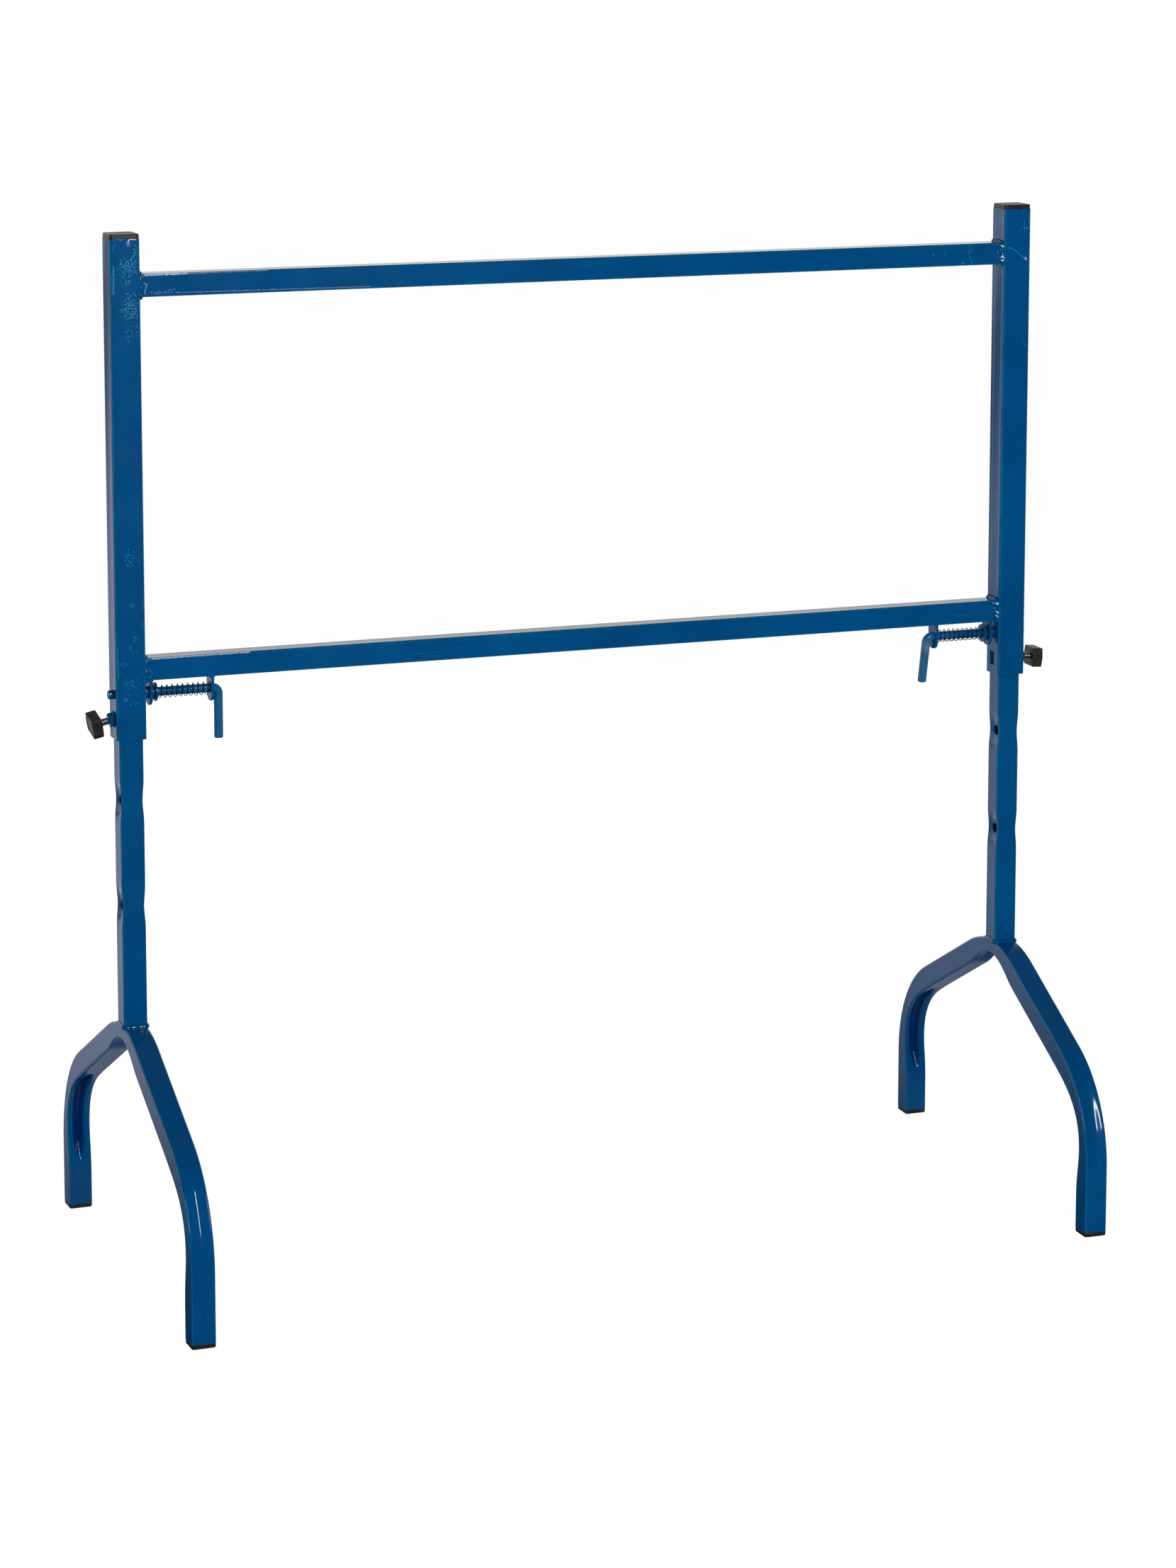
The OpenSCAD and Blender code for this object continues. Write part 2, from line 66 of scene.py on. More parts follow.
def atUpright(side):  # X points inwards, Z = 0 at the upright's foot
    turn = Matrix.Rotation(pi if side == "right" else 0, 4, "Z")
    return Matrix.Translation((sides[side] * trestle["halfSpan"], 0, trestle["uprightFoot"])) @ turn


def onPin(side):  # X along the pin
    return atUpright(side) @ Matrix.Translation((0, 0, trestle["pinRise"]))


def swungPin(side):  # the pin's own turn as it hangs
    swing = radians(trestle["pinSwing"][side]) * -sides[side]
    return onPin(side) @ Matrix.Rotation(swing, 4, "X")


def onClamp(side):  # Z along the clamp screw, outwards from the upright's face
    start = Matrix.Translation((-trestle["uprightSize"] / 2, 0, trestle["clampRise"][side]))
    lean = Matrix.Rotation(radians(-90 - trestle["clampDroop"][side]), 4, "Y")
    return atUpright(side) @ start @ lean


def atLeg(side):  # Z up the leg, Y from the front foot to the rear foot
    feet = []
    for end in ("front", "rear"):
        low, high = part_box(f"{side}_{end}_foot")
        feet.append((low + high) / 2)
    along = feet[1] - feet[0]
    twist = atan2(-along.x, along.y)
    middle = (feet[0] + feet[1]) / 2
    return Matrix.Translation((middle.x, middle.y, 0)) @ Matrix.Rotation(twist, 4, "Z")


# camera

view = {
    "place": (-1.9964, -5.3120, 1.8795),
    "yaw": 20.44,
    "pitch": 8.44,
    "lens": 98.53,
    "sensor": 36,
    "shift": (0.0105, -0.2),
}


def makeCamera():
    data = bpy.data.cameras.new("camera")
    data.lens = view["lens"]
    data.sensor_width = view["sensor"]
    data.shift_x, data.shift_y = view["shift"]
    camera = bpy.data.objects.new("camera", data)
    camera.location = view["place"]
    camera.rotation_euler = (radians(90 - view["pitch"]), 0, -radians(view["yaw"]))
    bpy.context.scene.collection.objects.link(camera)
    bpy.context.scene.camera = camera


# shader helpers

def setInput(tree, made, name, value):
    socket = made.inputs[int(name)] if name.isdigit() else made.inputs[name]
    if isinstance(value, bpy.types.NodeSocket):
        tree.links.new(value, socket)
    else:
        socket.default_value = value


def addNode(tree, kind, *values, **inputs):  # values go to the sockets in their order, the rest by name
    made = tree.nodes.new(kind)
    for name, value in inputs.items():
        if hasattr(made, name):
            setattr(made, name, value)
        else:
            setInput(tree, made, name, value)
    for i, value in enumerate(values):
        setInput(tree, made, str(i), value)
    return made


def mathNode(tree, operation, *values, clamp=False):
    return addNode(tree, "ShaderNodeMath", *values, operation=operation, use_clamp=clamp).outputs[0]


def chained(tree, operation, values):
    made = values[0]
    for value in values[1:]:
        made = mathNode(tree, operation, made, value)
    return made


def times(tree, *values):
    return chained(tree, "MULTIPLY", values)


def most(tree, *values):
    return chained(tree, "MAXIMUM", values)


def above(tree, value, edge, steep):  # 0 up to the edge, then a climb to 1
    return mathNode(tree, "MULTIPLY", mathNode(tree, "SUBTRACT", value, edge), steep, clamp=True)


def scaled(tree, value, gain, base, clamp=False):
    return mathNode(tree, "MULTIPLY_ADD", value, gain, base, clamp=clamp)


def ramp(tree, value, low, high, start, end):
    made = addNode(tree, "ShaderNodeMapRange", value, low, high, start, end, interpolation_type="SMOOTHSTEP")
    return made.outputs[0]


def noise(tree, place, scale, detail):  # a value, then a colour
    return addNode(tree, "ShaderNodeTexNoise", Vector=place, Scale=scale, Detail=detail).outputs


def vectorNode(tree, operation, *values):
    made = addNode(tree, "ShaderNodeVectorMath", operation=operation)
    for i, value in enumerate(values):
        setInput(tree, made, "3" if operation == "SCALE" and i else str(i), value)
    return made.outputs[1 if operation in ("LENGTH", "DOT_PRODUCT") else 0]


def mixColour(tree, share, first, second):
    made = addNode(tree, "ShaderNodeMix", data_type="RGBA")
    for socket, value in (("0", share), ("6", first), ("7", second)):
        setInput(tree, made, socket, value)
    return made.outputs[2]


def newGroup(name, inputs, outputs=("Mask",)):  # an input is a number, or a vector if it has three or none
    tree = bpy.data.node_groups.new(name, "ShaderNodeTree")
    for socketName, value in inputs.items():
        kind = "NodeSocketFloat" if isinstance(value, float) else "NodeSocketVector"
        socket = tree.interface.new_socket(socketName, in_out="INPUT", socket_type=kind)
        if value is not None:
            socket.default_value = value
    for socketName in outputs:
        tree.interface.new_socket(socketName, in_out="OUTPUT", socket_type="NodeSocketFloat")
    return tree, tree.nodes.new("NodeGroupInput").outputs, tree.nodes.new("NodeGroupOutput").inputs


def cloudsGroup():  # broken patches: fine grain kept only where a broad cloud is thick
    tree, got, put = newGroup("clouds", {"Vector": None, "Grain": 700.0, "Cloud": 60.0, "Cover": 0.5})
    grain = times(tree, noise(tree, got["Vector"], got["Grain"], 3.0)[0], 0.45)
    cloud = times(tree, noise(tree, got["Vector"], got["Cloud"], 2.0)[0], 0.55)
    edge = mathNode(tree, "SUBTRACT", 0.74, times(tree, got["Cover"], 0.4))
    tree.links.new(above(tree, mathNode(tree, "ADD", grain, cloud), edge, steep=22.0), put["Mask"])
    return tree


def flecksGroup():  # small dabs, the fewer the lower the cover
    tree, got, put = newGroup("flecks", {"Vector": None, "Grain": 480.0, "Cover": 0.5})
    wobble = vectorNode(tree, "SUBTRACT", noise(tree, got["Vector"], 800.0, 1.0)[1], (0.5, 0.5, 0.5))
    moved = vectorNode(tree, "ADD", got["Vector"], vectorNode(tree, "SCALE", wobble, 0.0016))
    cells = addNode(tree, "ShaderNodeTexVoronoi", Scale=got["Grain"], Vector=moved).outputs
    chance = addNode(tree, "ShaderNodeSeparateColor", Color=cells["Color"]).outputs
    speck = above(tree, scaled(tree, chance[1], gain=0.3, base=0.28), edge=cells["Distance"], steep=9.0)
    kept = above(tree, got["Cover"], edge=chance[0], steep=25.0)
    tree.links.new(times(tree, speck, kept), put["Mask"])
    return tree


def spotGroup():  # 1 at a place, fading to 0 at a reach from it
    tree, got, put = newGroup("spot", {"Vector": None, "Place": None, "Reach": (0.05, 0.05, 0.05)})
    away = vectorNode(tree, "SUBTRACT", got["Vector"], got["Place"])
    length = vectorNode(tree, "LENGTH", vectorNode(tree, "DIVIDE", away, got["Reach"]))
    tree.links.new(ramp(tree, length, 1.0, 0.25, 0.0, 1.0), put["Mask"])
    return tree


def strokeGroup():  # a thin uneven line from one place to another
    tree, got, put = newGroup("stroke", {"Vector": None, "From": None, "To": None, "Width": 0.001})
    here = vectorNode(tree, "SUBTRACT", got["Vector"], got["From"])
    whole = vectorNode(tree, "SUBTRACT", got["To"], got["From"])
    along = mathNode(tree, "DIVIDE", vectorNode(tree, "DOT_PRODUCT", here, whole),
                     vectorNode(tree, "DOT_PRODUCT", whole, whole), clamp=True)
    away = vectorNode(tree, "SUBTRACT", here, vectorNode(tree, "SCALE", whole, along))
    length = vectorNode(tree, "LENGTH", vectorNode(tree, "MULTIPLY", away, (1.0, 0.35, 1.0)))
    uneven = scaled(tree, noise(tree, got["Vector"], 380.0, 2.0)[0], gain=2.6, base=-0.45)
    outwards = mathNode(tree, "DIVIDE", length, times(tree, got["Width"], uneven))
    tree.links.new(above(tree, 1.0, edge=outwards, steep=3.0), put["Mask"])
    return tree


def scratchesGroup():  # thin broken lines along the stretched axis
    tree, got, put = newGroup("scratches", {"Vector": None, "Stretch": (900.0, 900.0, 14.0), "Amount": 0.3})
    stretched = vectorNode(tree, "MULTIPLY", got["Vector"], got["Stretch"])
    cornerPatches = above(tree, noise(tree, stretched, 1.0, 1.0)[0], edge=0.69, steep=14.0)
    broken = above(tree, noise(tree, got["Vector"], 38.0, 2.0)[0], edge=0.5, steep=9.0)
    tree.links.new(times(tree, cornerPatches, broken, got["Amount"]), put["Mask"])
    return tree


def paintGroup():  # how brushed-on enamel varies: tone, gloss and the ripple of its skin
    tree, got, put = newGroup("paintSkin", {"Vector": None, "Ripple": 330.0}, ("Tone", "Gloss", "Height"))
    peel = times(tree, noise(tree, got["Vector"], got["Ripple"], 1.0)[0], 0.12)
    sag = noise(tree, got["Vector"], 42.0, 1.0)[0]
    tree.links.new(noise(tree, got["Vector"], 9.0, 4.0)[0], put["Tone"])
    tree.links.new(noise(tree, got["Vector"], 26.0, 3.0)[0], put["Gloss"])
    tree.links.new(mathNode(tree, "ADD", peel, sag), put["Height"])
    return tree


groups = {"clouds": cloudsGroup(), "flecks": flecksGroup(), "spot": spotGroup(), "stroke": strokeGroup(),
          "scratches": scratchesGroup(), "paint": paintGroup()}


def useGroup(tree, name, **inputs):
    return addNode(tree, "ShaderNodeGroup", node_tree=groups[name], **inputs).outputs


# materials

materials = {}


def startMaterial(name):
    material = materials[name] = bpy.data.materials.new(name)
    material.use_nodes = True
    tree = material.node_tree
    return tree, tree.nodes["Principled BSDF"], tree.nodes.new("ShaderNodeTexCoord").outputs["Object"]


def setShader(tree, shader, colour, rough, height, bump):  # bump: how strong and how deep
    strength, depth = bump
    normal = addNode(tree, "ShaderNodeBump", Strength=strength, Distance=depth, Height=height).outputs[0]
    for name, value in (("Base Color", colour), ("Roughness", rough), ("Normal", normal)):
        setInput(tree, shader, name, value)


def inMetres(point):
    return [v * mm for v in point]


def oneMark(tree, place, mark):
    if "line" in mark:
        points = [inMetres(point) for point in mark["line"]]
        width = mark["width"] * mm
        strokes = [useGroup(tree, "stroke", Vector=place, From=start, To=end, Width=width)["Mask"]
                   for start, end in zip(points, points[1:])]
        return times(tree, most(tree, *strokes), mark["strength"])
    spot = useGroup(tree, "spot", Vector=place, Place=inMetres(mark["place"]),
                    Reach=inMetres(mark["reach"]))["Mask"]
    if "cloud" in mark:
        cloud = useGroup(tree, "clouds", Vector=place, Cloud=mark["cloud"], Cover=mark["cover"])["Mask"]
        return times(tree, spot, cloud, mark["strength"])
    cover = times(tree, spot, mark["cover"])
    flecks = useGroup(tree, "flecks", Vector=place, Grain=mark.get("grain", 480.0), Cover=cover)["Mask"]
    return times(tree, flecks, mark["strength"])


def attribute(tree, name):
    return addNode(tree, "ShaderNodeAttribute", attribute_name=name).outputs["Fac"]


enamel = {
    "deep": (0.0, 0.052, 0.168, 1),
    "clear": (0.0, 0.067, 0.206, 1),
    # rubbed paint; also a painted sheen on the handles and a painted highlight on tube corners
    "rubbedAndSheen": (0.003, 0.215, 0.350, 1),
    "scratched": (0.02, 0.20, 0.31, 1),
    # bare chips; also painted highlights and glints on edges and weld beads
    "paleChipAndGlint": (0.50, 0.56, 0.66, 1),
    "grime": (0.020, 0.016, 0.015, 1),
    # painted shade for the bow's trough
    "troughShade": (0.0, 0.018, 0.11, 1),
    "matt": {"rubbedAndSheen": 0.25, "grime": 0.4, "paleChipAndGlint": 0.2},
    "bump": (0.014, 0.002),
    "shine": 0.42,
}


def blueEnamel(name, rubsAndSheen=(), chipsAndGlints=(), grime=(), lines=0.35, stretch=(900.0, 900.0, 14.0), pool=False):
    tree, shader, place = startMaterial(name)
    skin = useGroup(tree, "paint", Vector=place)
    tone = scaled(tree, skin["Tone"], gain=2.4, base=-0.7, clamp=True)
    colour = mixColour(tree, tone, enamel["deep"], enamel["clear"])
    rough = scaled(tree, skin["Gloss"], gain=0.12, base=0.04)
    scratch = useGroup(tree, "scratches", Vector=place, Stretch=stretch, Amount=lines)["Mask"]
    colour = mixColour(tree, scratch, colour, enamel["scratched"])
    # corners lighter: paint worn thin on the edges, and a painted highlight along the rounded corners
    cornerPatches = useGroup(tree, "clouds", Vector=place, Grain=500.0, Cloud=30.0, Cover=0.75)["Mask"]
    corner = scaled(tree, attribute(tree, "corner"), gain=2.5, base=-1.4, clamp=True)
    edgeWearAndHighlight = times(tree, corner, scaled(tree, cornerPatches, gain=0.22, base=0.1))
    colour = mixColour(tree, edgeWearAndHighlight, colour, enamel["rubbedAndSheen"])
    # painted shade where the bow's trough is deep
    if pool:
        colour = mixColour(tree, attribute(tree, "pool"), colour, enamel["troughShade"])
    for marks, tint in ((rubsAndSheen, "rubbedAndSheen"), (grime, "grime"), (chipsAndGlints, "paleChipAndGlint")):
        if marks:
            mask = most(tree, *[oneMark(tree, place, mark) for mark in marks])
            colour = mixColour(tree, mask, colour, enamel[tint])
            rough = scaled(tree, mask, gain=enamel["matt"][tint], base=rough, clamp=True)
    setInput(tree, shader, "Specular IOR Level", enamel["shine"])
    setShader(tree, shader, colour, rough, skin["Height"], enamel["bump"])


plastic = {
    "dark": (0.012, 0.0112, 0.0105, 1),
    "edgeWearAndHighlight": (0.035, 0.033, 0.031, 1),
    "bump": (0.12, 0.0006),
}


def blackPlastic(name, grain=900.0, scuffs=0.42):
    tree, shader, place = startMaterial(name)
    fine = noise(tree, place, grain, 2.0)[0]
    scuff = useGroup(tree, "clouds", Vector=place, Grain=1100.0, Cloud=140.0, Cover=scuffs)["Mask"]
    tone = scaled(tree, noise(tree, place, 85.0, 4.0)[0], gain=1.6, base=-0.45, clamp=True)
    share = most(tree, times(tree, tone, 0.5), times(tree, scuff, 0.7))
    colour = mixColour(tree, share, plastic["dark"], plastic["edgeWearAndHighlight"])
    setShader(tree, shader, colour, scaled(tree, fine, gain=0.25, base=0.3), fine, plastic["bump"])


metal = {
    "springSteel": {
        "dull": (0.045, 0.038, 0.033, 1), "bright": (0.20, 0.175, 0.15, 1), "grain": 160.0, "rough": 0.2,
    },
    "zincPlate": {
        "dull": (0.38, 0.385, 0.36, 1), "bright": (0.66, 0.665, 0.62, 1), "grain": 240.0, "rough": 0.22,
    },
    "bump": (0.1, 0.0004),
}


def bareMetal(name):
    tree, shader, place = startMaterial(name)
    own = metal[name]
    setInput(tree, shader, "Metallic", 1.0)
    fine = noise(tree, place, own["grain"] * 6, 2.0)[0]
    share = scaled(tree, noise(tree, place, own["grain"], 5.0)[0], gain=2.2, base=-0.6, clamp=True)
    colour = mixColour(tree, share, own["dull"], own["bright"])
    setShader(tree, shader, colour, scaled(tree, fine, gain=0.3, base=own["rough"]), fine, metal["bump"])


# marks in the paint, and painted highlights, glints and sheen, in millimetres where they lie

def dab(place, reach, cover, strength=0.95, **kind):  # flecks, or a cloud, round a place
    return {"place": place, "reach": reach, "cover": cover, "strength": strength, **kind}


def line(width, strength, *points):
    return {"line": points, "width": width, "strength": strength}


leftUprightRubsAndGlints = [
    dab((-625, -20, 1336), (18, 8, 16), 1.1, 0.9),
    dab((-615, -20, 1349), (7, 8, 16), 0.8),
    dab((-629, -20, 1319), (12, 8, 14), 0.3),
    dab((-625, -20, 1281), (17, 8, 25), 0.9, 0.9),
    dab((-622, -20, 1250), (14, 8, 16), 0.35),
    dab((-643, -20, 1362), (6, 8, 10), 0.4),
    dab((-639, -20, 1369.2), (12, 4, 1.8), 0.9),
    dab((-628, -20, 963), (14, 8, 24), 0.28),
    dab((-626, -20, 897), (9, 8, 5), 0.6),
    dab((-623, -20, 853), (7, 8, 6), 0.75),
    dab((-630, -20, 839), (3, 8, 8), 0.6),
    dab((-625, -20, 836), (6, 8, 5), 0.6),
    dab((-639, -20, 820), (7, 8, 5), 0.75),
    dab((-630, -20, 794), (15, 8, 10), 0.85, 0.6),
    dab((-628, -20, 783), (13, 8, 8), 0.5, 0.6),
    dab((-637, -20, 774), (7, 8, 6), 0.7, 0.7),
    dab((-625, -20, 768), (9, 8, 4), 0.9, 0.7),
    line(1.0, 0.6, (-645.2, -20, 1336), (-645.2, -20, 1301)),
    line(0.8, 0.5, (-647.6, -19.5, 1324), (-647.1, -19.5, 1300)),
    line(1.0, 0.5, (-647.6, -19.5, 842), (-647, -19.5, 803)),
    # painted glints: two short lighter lines by the front-right corner
    line(0.8, 0.5, (-613.4, -19.6, 901), (-613.4, -19.6, 890)),
    line(0.7, 0.4, (-613.8, -19.6, 877), (-613.8, -19.6, 864)),
]
leftUprightChips = [
    line(0.8, 0.8, (-625.5, -20, 1366), (-624.5, -20, 1368.6), (-621.7, -20, 1369.2), (-615.7, -20, 1368.9)),
    dab((-625.5, -20, 1363.5), (4, 4, 5), 1.0, 0.2, cloud=60.0),
]
rightUprightRubs = [
    line(1.0, 0.65, (615, -20, 1317.7), (621.4, -20, 1316), (631, -20, 1310), (640, -20, 1302.5)),
    line(0.8, 0.5, (640, -20, 1353.7), (640, -20, 1338.8)),
    line(1.0, 0.7, (638.4, -20, 1344.6), (645.3, -20, 1342.5)),
    line(0.9, 0.45, (646.4, -20, 1363), (646.4, -20, 1342)),
    line(0.8, 0.5, (640, -20, 1196), (640, -20, 1188)),
    line(0.9, 0.6, (641, -20, 1184), (645, -20, 1180)),
    dab((634, -20, 1341), (4, 6, 4), 0.6),
    dab((641, -20, 1366), (10, 6, 4), 0.5, 0.5),
]
rightUprightChipsAndSheen = [
    line(1.8, 0.4, (641.5, -20, 1302.2), (642.7, -20, 1301.4)),
    # painted highlights: two long pale lines down the left face
    line(1.0, 0.14, (610, 9, 1372), (610, 9, 845)),
    line(1.2, 0.16, (610, -13.5, 1372), (610, -13.5, 845)),
]
# pale chips on the weld beads, with painted glints where a lamp would catch them
weldChipsAndGlints = [
    line(1.3, 0.95, (600.7, -18, 1321.8), (603.3, -18, 1320.6), (605.4, -18, 1321), (607.6, -18, 1319.2),
         (612.3, -18, 1319.5)),
    line(1.2, 0.9, (602.3, -18, 1313.6), (602.8, -18, 1308.8), (605.4, -18, 1313.5)),
    line(1.2, 0.9, (601.7, -18, 1304.6), (605.4, -18, 1302), (601.7, -18, 1300.7), (610.7, -18, 1299.5),
         (608.8, -18, 1306.2), (605.4, -18, 1304)),
    line(1.3, 0.9, (603, -18, 822.5), (609, -18, 821)),
    line(1.2, 0.9, (605, -18, 815), (607, -18, 810), (610, -18, 808)),
    line(1.2, 0.8, (604, -18, 806), (609, -18, 803)),
    line(0.8, 0.3, (-604.5, -15, 1311.8), (-600.6, -15, 1311), (-602.5, -15, 1303.7), (-603.8, -15, 1298.8)),
]
barChipsAndHighlights = weldChipsAndGlints + [
    # painted highlights: white lines along the top front corner of both bars
    line(1.6, 0.95, (-602, -14.1, 1323.1), (-548, -14.1, 1323.1)),
    line(0.7, 0.5, (-548, -14.1, 1323.1), (-440, -14.1, 1323.1)),
    line(1.2, 0.7, (-600, -14.1, 824.6), (-470, -14.1, 824.6)),
    line(0.7, 0.2, (-562, -15, 1298.6), (-300, -15, 1297)),
    dab((-582, -15, 1299.6), (28, 6, 3.4), 0.75, 0.45, grain=850.0),
    dab((-569, -15, 1302.5), (8, 6, 3), 0.6, 0.45, grain=850.0),
]
barRubs = [
    dab((-604, -15, 808), (7, 6, 11), 0.6),
    line(0.8, 0.6, (559.3, -15, 1322.4), (558.8, -15, 1310)),
    line(0.8, 0.6, (560.4, -15, 1306.7), (563.5, -15, 1295.6)),
    line(0.6, 0.5, (563.5, -15, 1321.8), (563.5, -15, 1313)),
    dab((550, -15, 1297), (4, 6, 3), 0.8),
    dab((524, -15, 1313), (3, 6, 6), 0.6),
    dab((505, -15, 1314), (5, 6, 7), 0.4),
]
lugGrime = [dab((x, 0, 775), (14, 20, 20), 0.65, 0.75, cloud=55.0) for x in (-599, 599)]


# painted sheen: the handles mixed towards paler colours all over
def handleHaze(left, right):
    return [dab((x, 0, 740), (60, 60, 90), 1.0, strength, cloud=40.0)
            for x, strength in ((-511, left), (511, right))]


# painted sheen on the handles, in both tints
handleSheen = handleHaze(0.16, 0.18)
handleGrime = [dab((511, 0, 758), (12, 12, 22), 0.8, 0.4, cloud=90.0)]
handleChipsAndSheen = handleHaze(0.016, 0.04) + [dab((511, 0, 764), (14, 14, 16), 1.0, 0.15, cloud=90.0)]

blueEnamel("plainEnamel")
blueEnamel("leftUprightEnamel", rubsAndSheen=leftUprightRubsAndGlints, chipsAndGlints=leftUprightChips)
blueEnamel("rightUprightEnamel", rubsAndSheen=rightUprightRubs, chipsAndGlints=rightUprightChipsAndSheen)
blueEnamel("barEnamel", rubsAndSheen=barRubs, chipsAndGlints=barChipsAndHighlights, stretch=(14.0, 900.0, 900.0))
blueEnamel("bowEnamel", pool=True)
blueEnamel("legEnamel", lines=0.75, stretch=(520.0, 520.0, 7.0))
blueEnamel("lugEnamel", grime=lugGrime)
blueEnamel("handleEnamel", rubsAndSheen=handleSheen, grime=handleGrime, chipsAndGlints=handleChipsAndSheen)
blueEnamel("beadEnamel", chipsAndGlints=weldChipsAndGlints)
blackPlastic("blackPlastic")
blackPlastic("knobPlastic", grain=700.0, scuffs=0.55)
bareMetal("springSteel")
bareMetal("zincPlate")
print("materials", len(materials))


# mesh helpers

def vertsOf(geometry):
    return {g for g in geometry if isinstance(g, bmesh.types.BMVert)}


def closeEnds(bm):
    bmesh.ops.holes_fill(bm, edges=[e for e in bm.edges if e.is_boundary], sides=0)


def sweep(count, points, place, ends="open", layers=None):  # ends open, filled or joined; layers: values kept
    bm = bmesh.new()
    order = bm.verts.layers.int.new("order")
    kept = [(bm.verts.layers.float.new(name), value) for name, value in (layers or {}).items()]

    def put(verts, i):
        for v in verts:
            v.co = place(i, v[order])
            for layer, value in kept:
                v[layer] = value(i, v[order])

    ring = bmesh.ops.create_circle(bm, segments=points, radius=1)["verts"]
    for k, v in enumerate(ring):
        v[order] = k
    put(ring, 0)
    first = edges = list(dict.fromkeys(e for v in ring for e in v.link_edges))
    for i in range(1, count):
        made = bmesh.ops.extrude_edge_only(bm, edges=edges)["geom"]
        verts = vertsOf(made)
        put(verts, i)
        edges = [g for g in made if isinstance(g, bmesh.types.BMEdge) and set(g.verts) <= verts]
    if ends == "joined":
        bmesh.ops.bridge_loops(bm, edges=first + edges)
    elif ends == "filled":
        closeEnds(bm)
    bm.verts.layers.int.remove(order)
    return bm


def plate(points, thickness):  # points in X and Y, thickness along Z from 0
    bm = bmesh.new()
    face = bm.faces.new([bm.verts.new((x, y, 0)) for x, y in points])
    made = bmesh.ops.extrude_face_region(bm, geom=[face])["geom"]
    bmesh.ops.translate(bm, vec=(0, 0, thickness), verts=list(vertsOf(made)))
    return bm


def spun(profile, steps):  # a closed profile of X and radius, about X
    bm = bmesh.new()
    verts = [bm.verts.new((x, 0, r)) for x, r in profile]
    edges = [bm.edges.new(pair) for pair in zip(verts, verts[1:] + verts[:1])]
    bmesh.ops.spin(bm, geom=verts + edges, cent=(0, 0, 0), axis=(1, 0, 0), angle=2 * pi, steps=steps,
                   use_merge=True)
    bmesh.ops.remove_doubles(bm, verts=bm.verts, dist=1e-6)
    return bm


holeSides = 48


def rods(*tools):  # round holes: diameter, length and a frame with Z along the hole
    bm = bmesh.new()
    for diameter, length, matrix in tools:
        r = diameter / 2
        bmesh.ops.create_cone(bm, cap_ends=True, segments=holeSides, radius1=r, radius2=r, depth=length,
                              matrix=matrix)
    return bm


alongX = Matrix.Rotation(pi / 2, 4, "Y")


def softEdges(bm, width, segments, least):  # edges that turn by more than the least angle
    edges = [e for e in bm.edges if len(e.link_faces) == 2 and e.calc_face_angle() > radians(least)]
    bmesh.ops.bevel(bm, geom=edges, offset=width, offset_type="OFFSET", segments=segments, profile=0.5,
                    affect="EDGES", material=-1, clamp_overlap=True)


def moveTo(bm, matrix):
    bmesh.ops.transform(bm, matrix=matrix, verts=bm.verts)


def roundedSquare(half, corner, sidePoints, cornerPoints, hollow=0.0):  # points of an outline, anticlockwise
    quarter = []
    for i in range(sidePoints):
        t = -1 + 2 * i / sidePoints
        quarter.append((t * (half - corner), hollow * (1 - t * t) - half))
    for i in range(cornerPoints):
        a = radians(-90 + 90 * i / cornerPoints)
        quarter.append((half - corner + corner * cos(a), corner - half + corner * sin(a)))
    outline = []
    for c, s in ((1, 0), (0, 1), (-1, 0), (0, -1)):
        outline += [(x * c - y * s, x * s + y * c) for x, y in quarter]
    return outline


def tubeOutline(size, sidePoints=8, cornerPoints=6):  # with a layer: 1 in the middle of a corner, 0 on a side
    def corner(i, k):
        return sin(pi * max(k % (sidePoints + cornerPoints) - sidePoints, 0) / cornerPoints)

    outline = roundedSquare(size["half"], size["corner"], sidePoints, cornerPoints, size["hollow"])
    return outline, {"corner": corner}


def linkMesh(name, bm):
    mesh = bpy.data.meshes.new(name)
    bm.to_mesh(mesh)
    bm.free()
    made = bpy.data.objects.new(name, mesh)
    bpy.context.scene.collection.objects.link(made)
    return made


def applyWork(piece):  # turns the piece's wall and holes into plain mesh
    bpy.context.view_layer.update()
    mesh = bpy.data.meshes.new_from_object(piece.evaluated_get(bpy.context.evaluated_depsgraph_get()))
    piece.modifiers.clear()
    piece.data = mesh
    mesh.name = piece.name


def shadeMesh(mesh, sharp):
    bm = bmesh.new()
    bm.from_mesh(mesh)
    for f in bm.faces:
        f.smooth = True
    for e in bm.edges:
        e.smooth = not (len(e.link_faces) == 2 and e.calc_face_angle() > radians(sharp))
    bm.to_mesh(mesh)
    bm.free()


def finishPiece(name, bm, material, body, node=None, sharp=35.0, wall=0.0, holes=None):
    bmesh.ops.recalc_face_normals(bm, faces=bm.faces)
    piece = linkMesh(name, bm)
    piece.data.materials.append(materials[material])
    if wall:
        solid = piece.modifiers.new("wall", "SOLIDIFY")
        solid.thickness = wall
        solid.offset = -1
    if holes:
        bmesh.ops.recalc_face_normals(holes, faces=holes.faces)
        tool = linkMesh("holeTool", holes)
        toolMesh = tool.data
        cut = piece.modifiers.new("holes", "BOOLEAN")
        cut.object = tool
        cut.solver = "EXACT"
    if wall or holes:
        applyWork(piece)
    if holes:
        bpy.data.objects.remove(tool)
        bpy.data.meshes.remove(toolMesh)
    shadeMesh(piece.data, sharp)
    even = piece.modifiers.new("evenShading", "WEIGHTED_NORMAL")
    even.keep_sharp = True
    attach(piece, body)
    if node:
        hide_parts(node)
    return piece


# uprights and crossbars

upright = {
    "half": 20 * mm,
    "corner": 4 * mm,
    "wall": 2.5 * mm,
    "length": 650 * mm,
    "hollow": 0.3 * mm,
    "pinHole": (13 * mm, 60 * mm),
    "clampHole": (11 * mm, 10 * mm),
    "windowRise": 21.5 * mm,
    "window": (10 * mm, 16 * mm, 19 * mm),
}


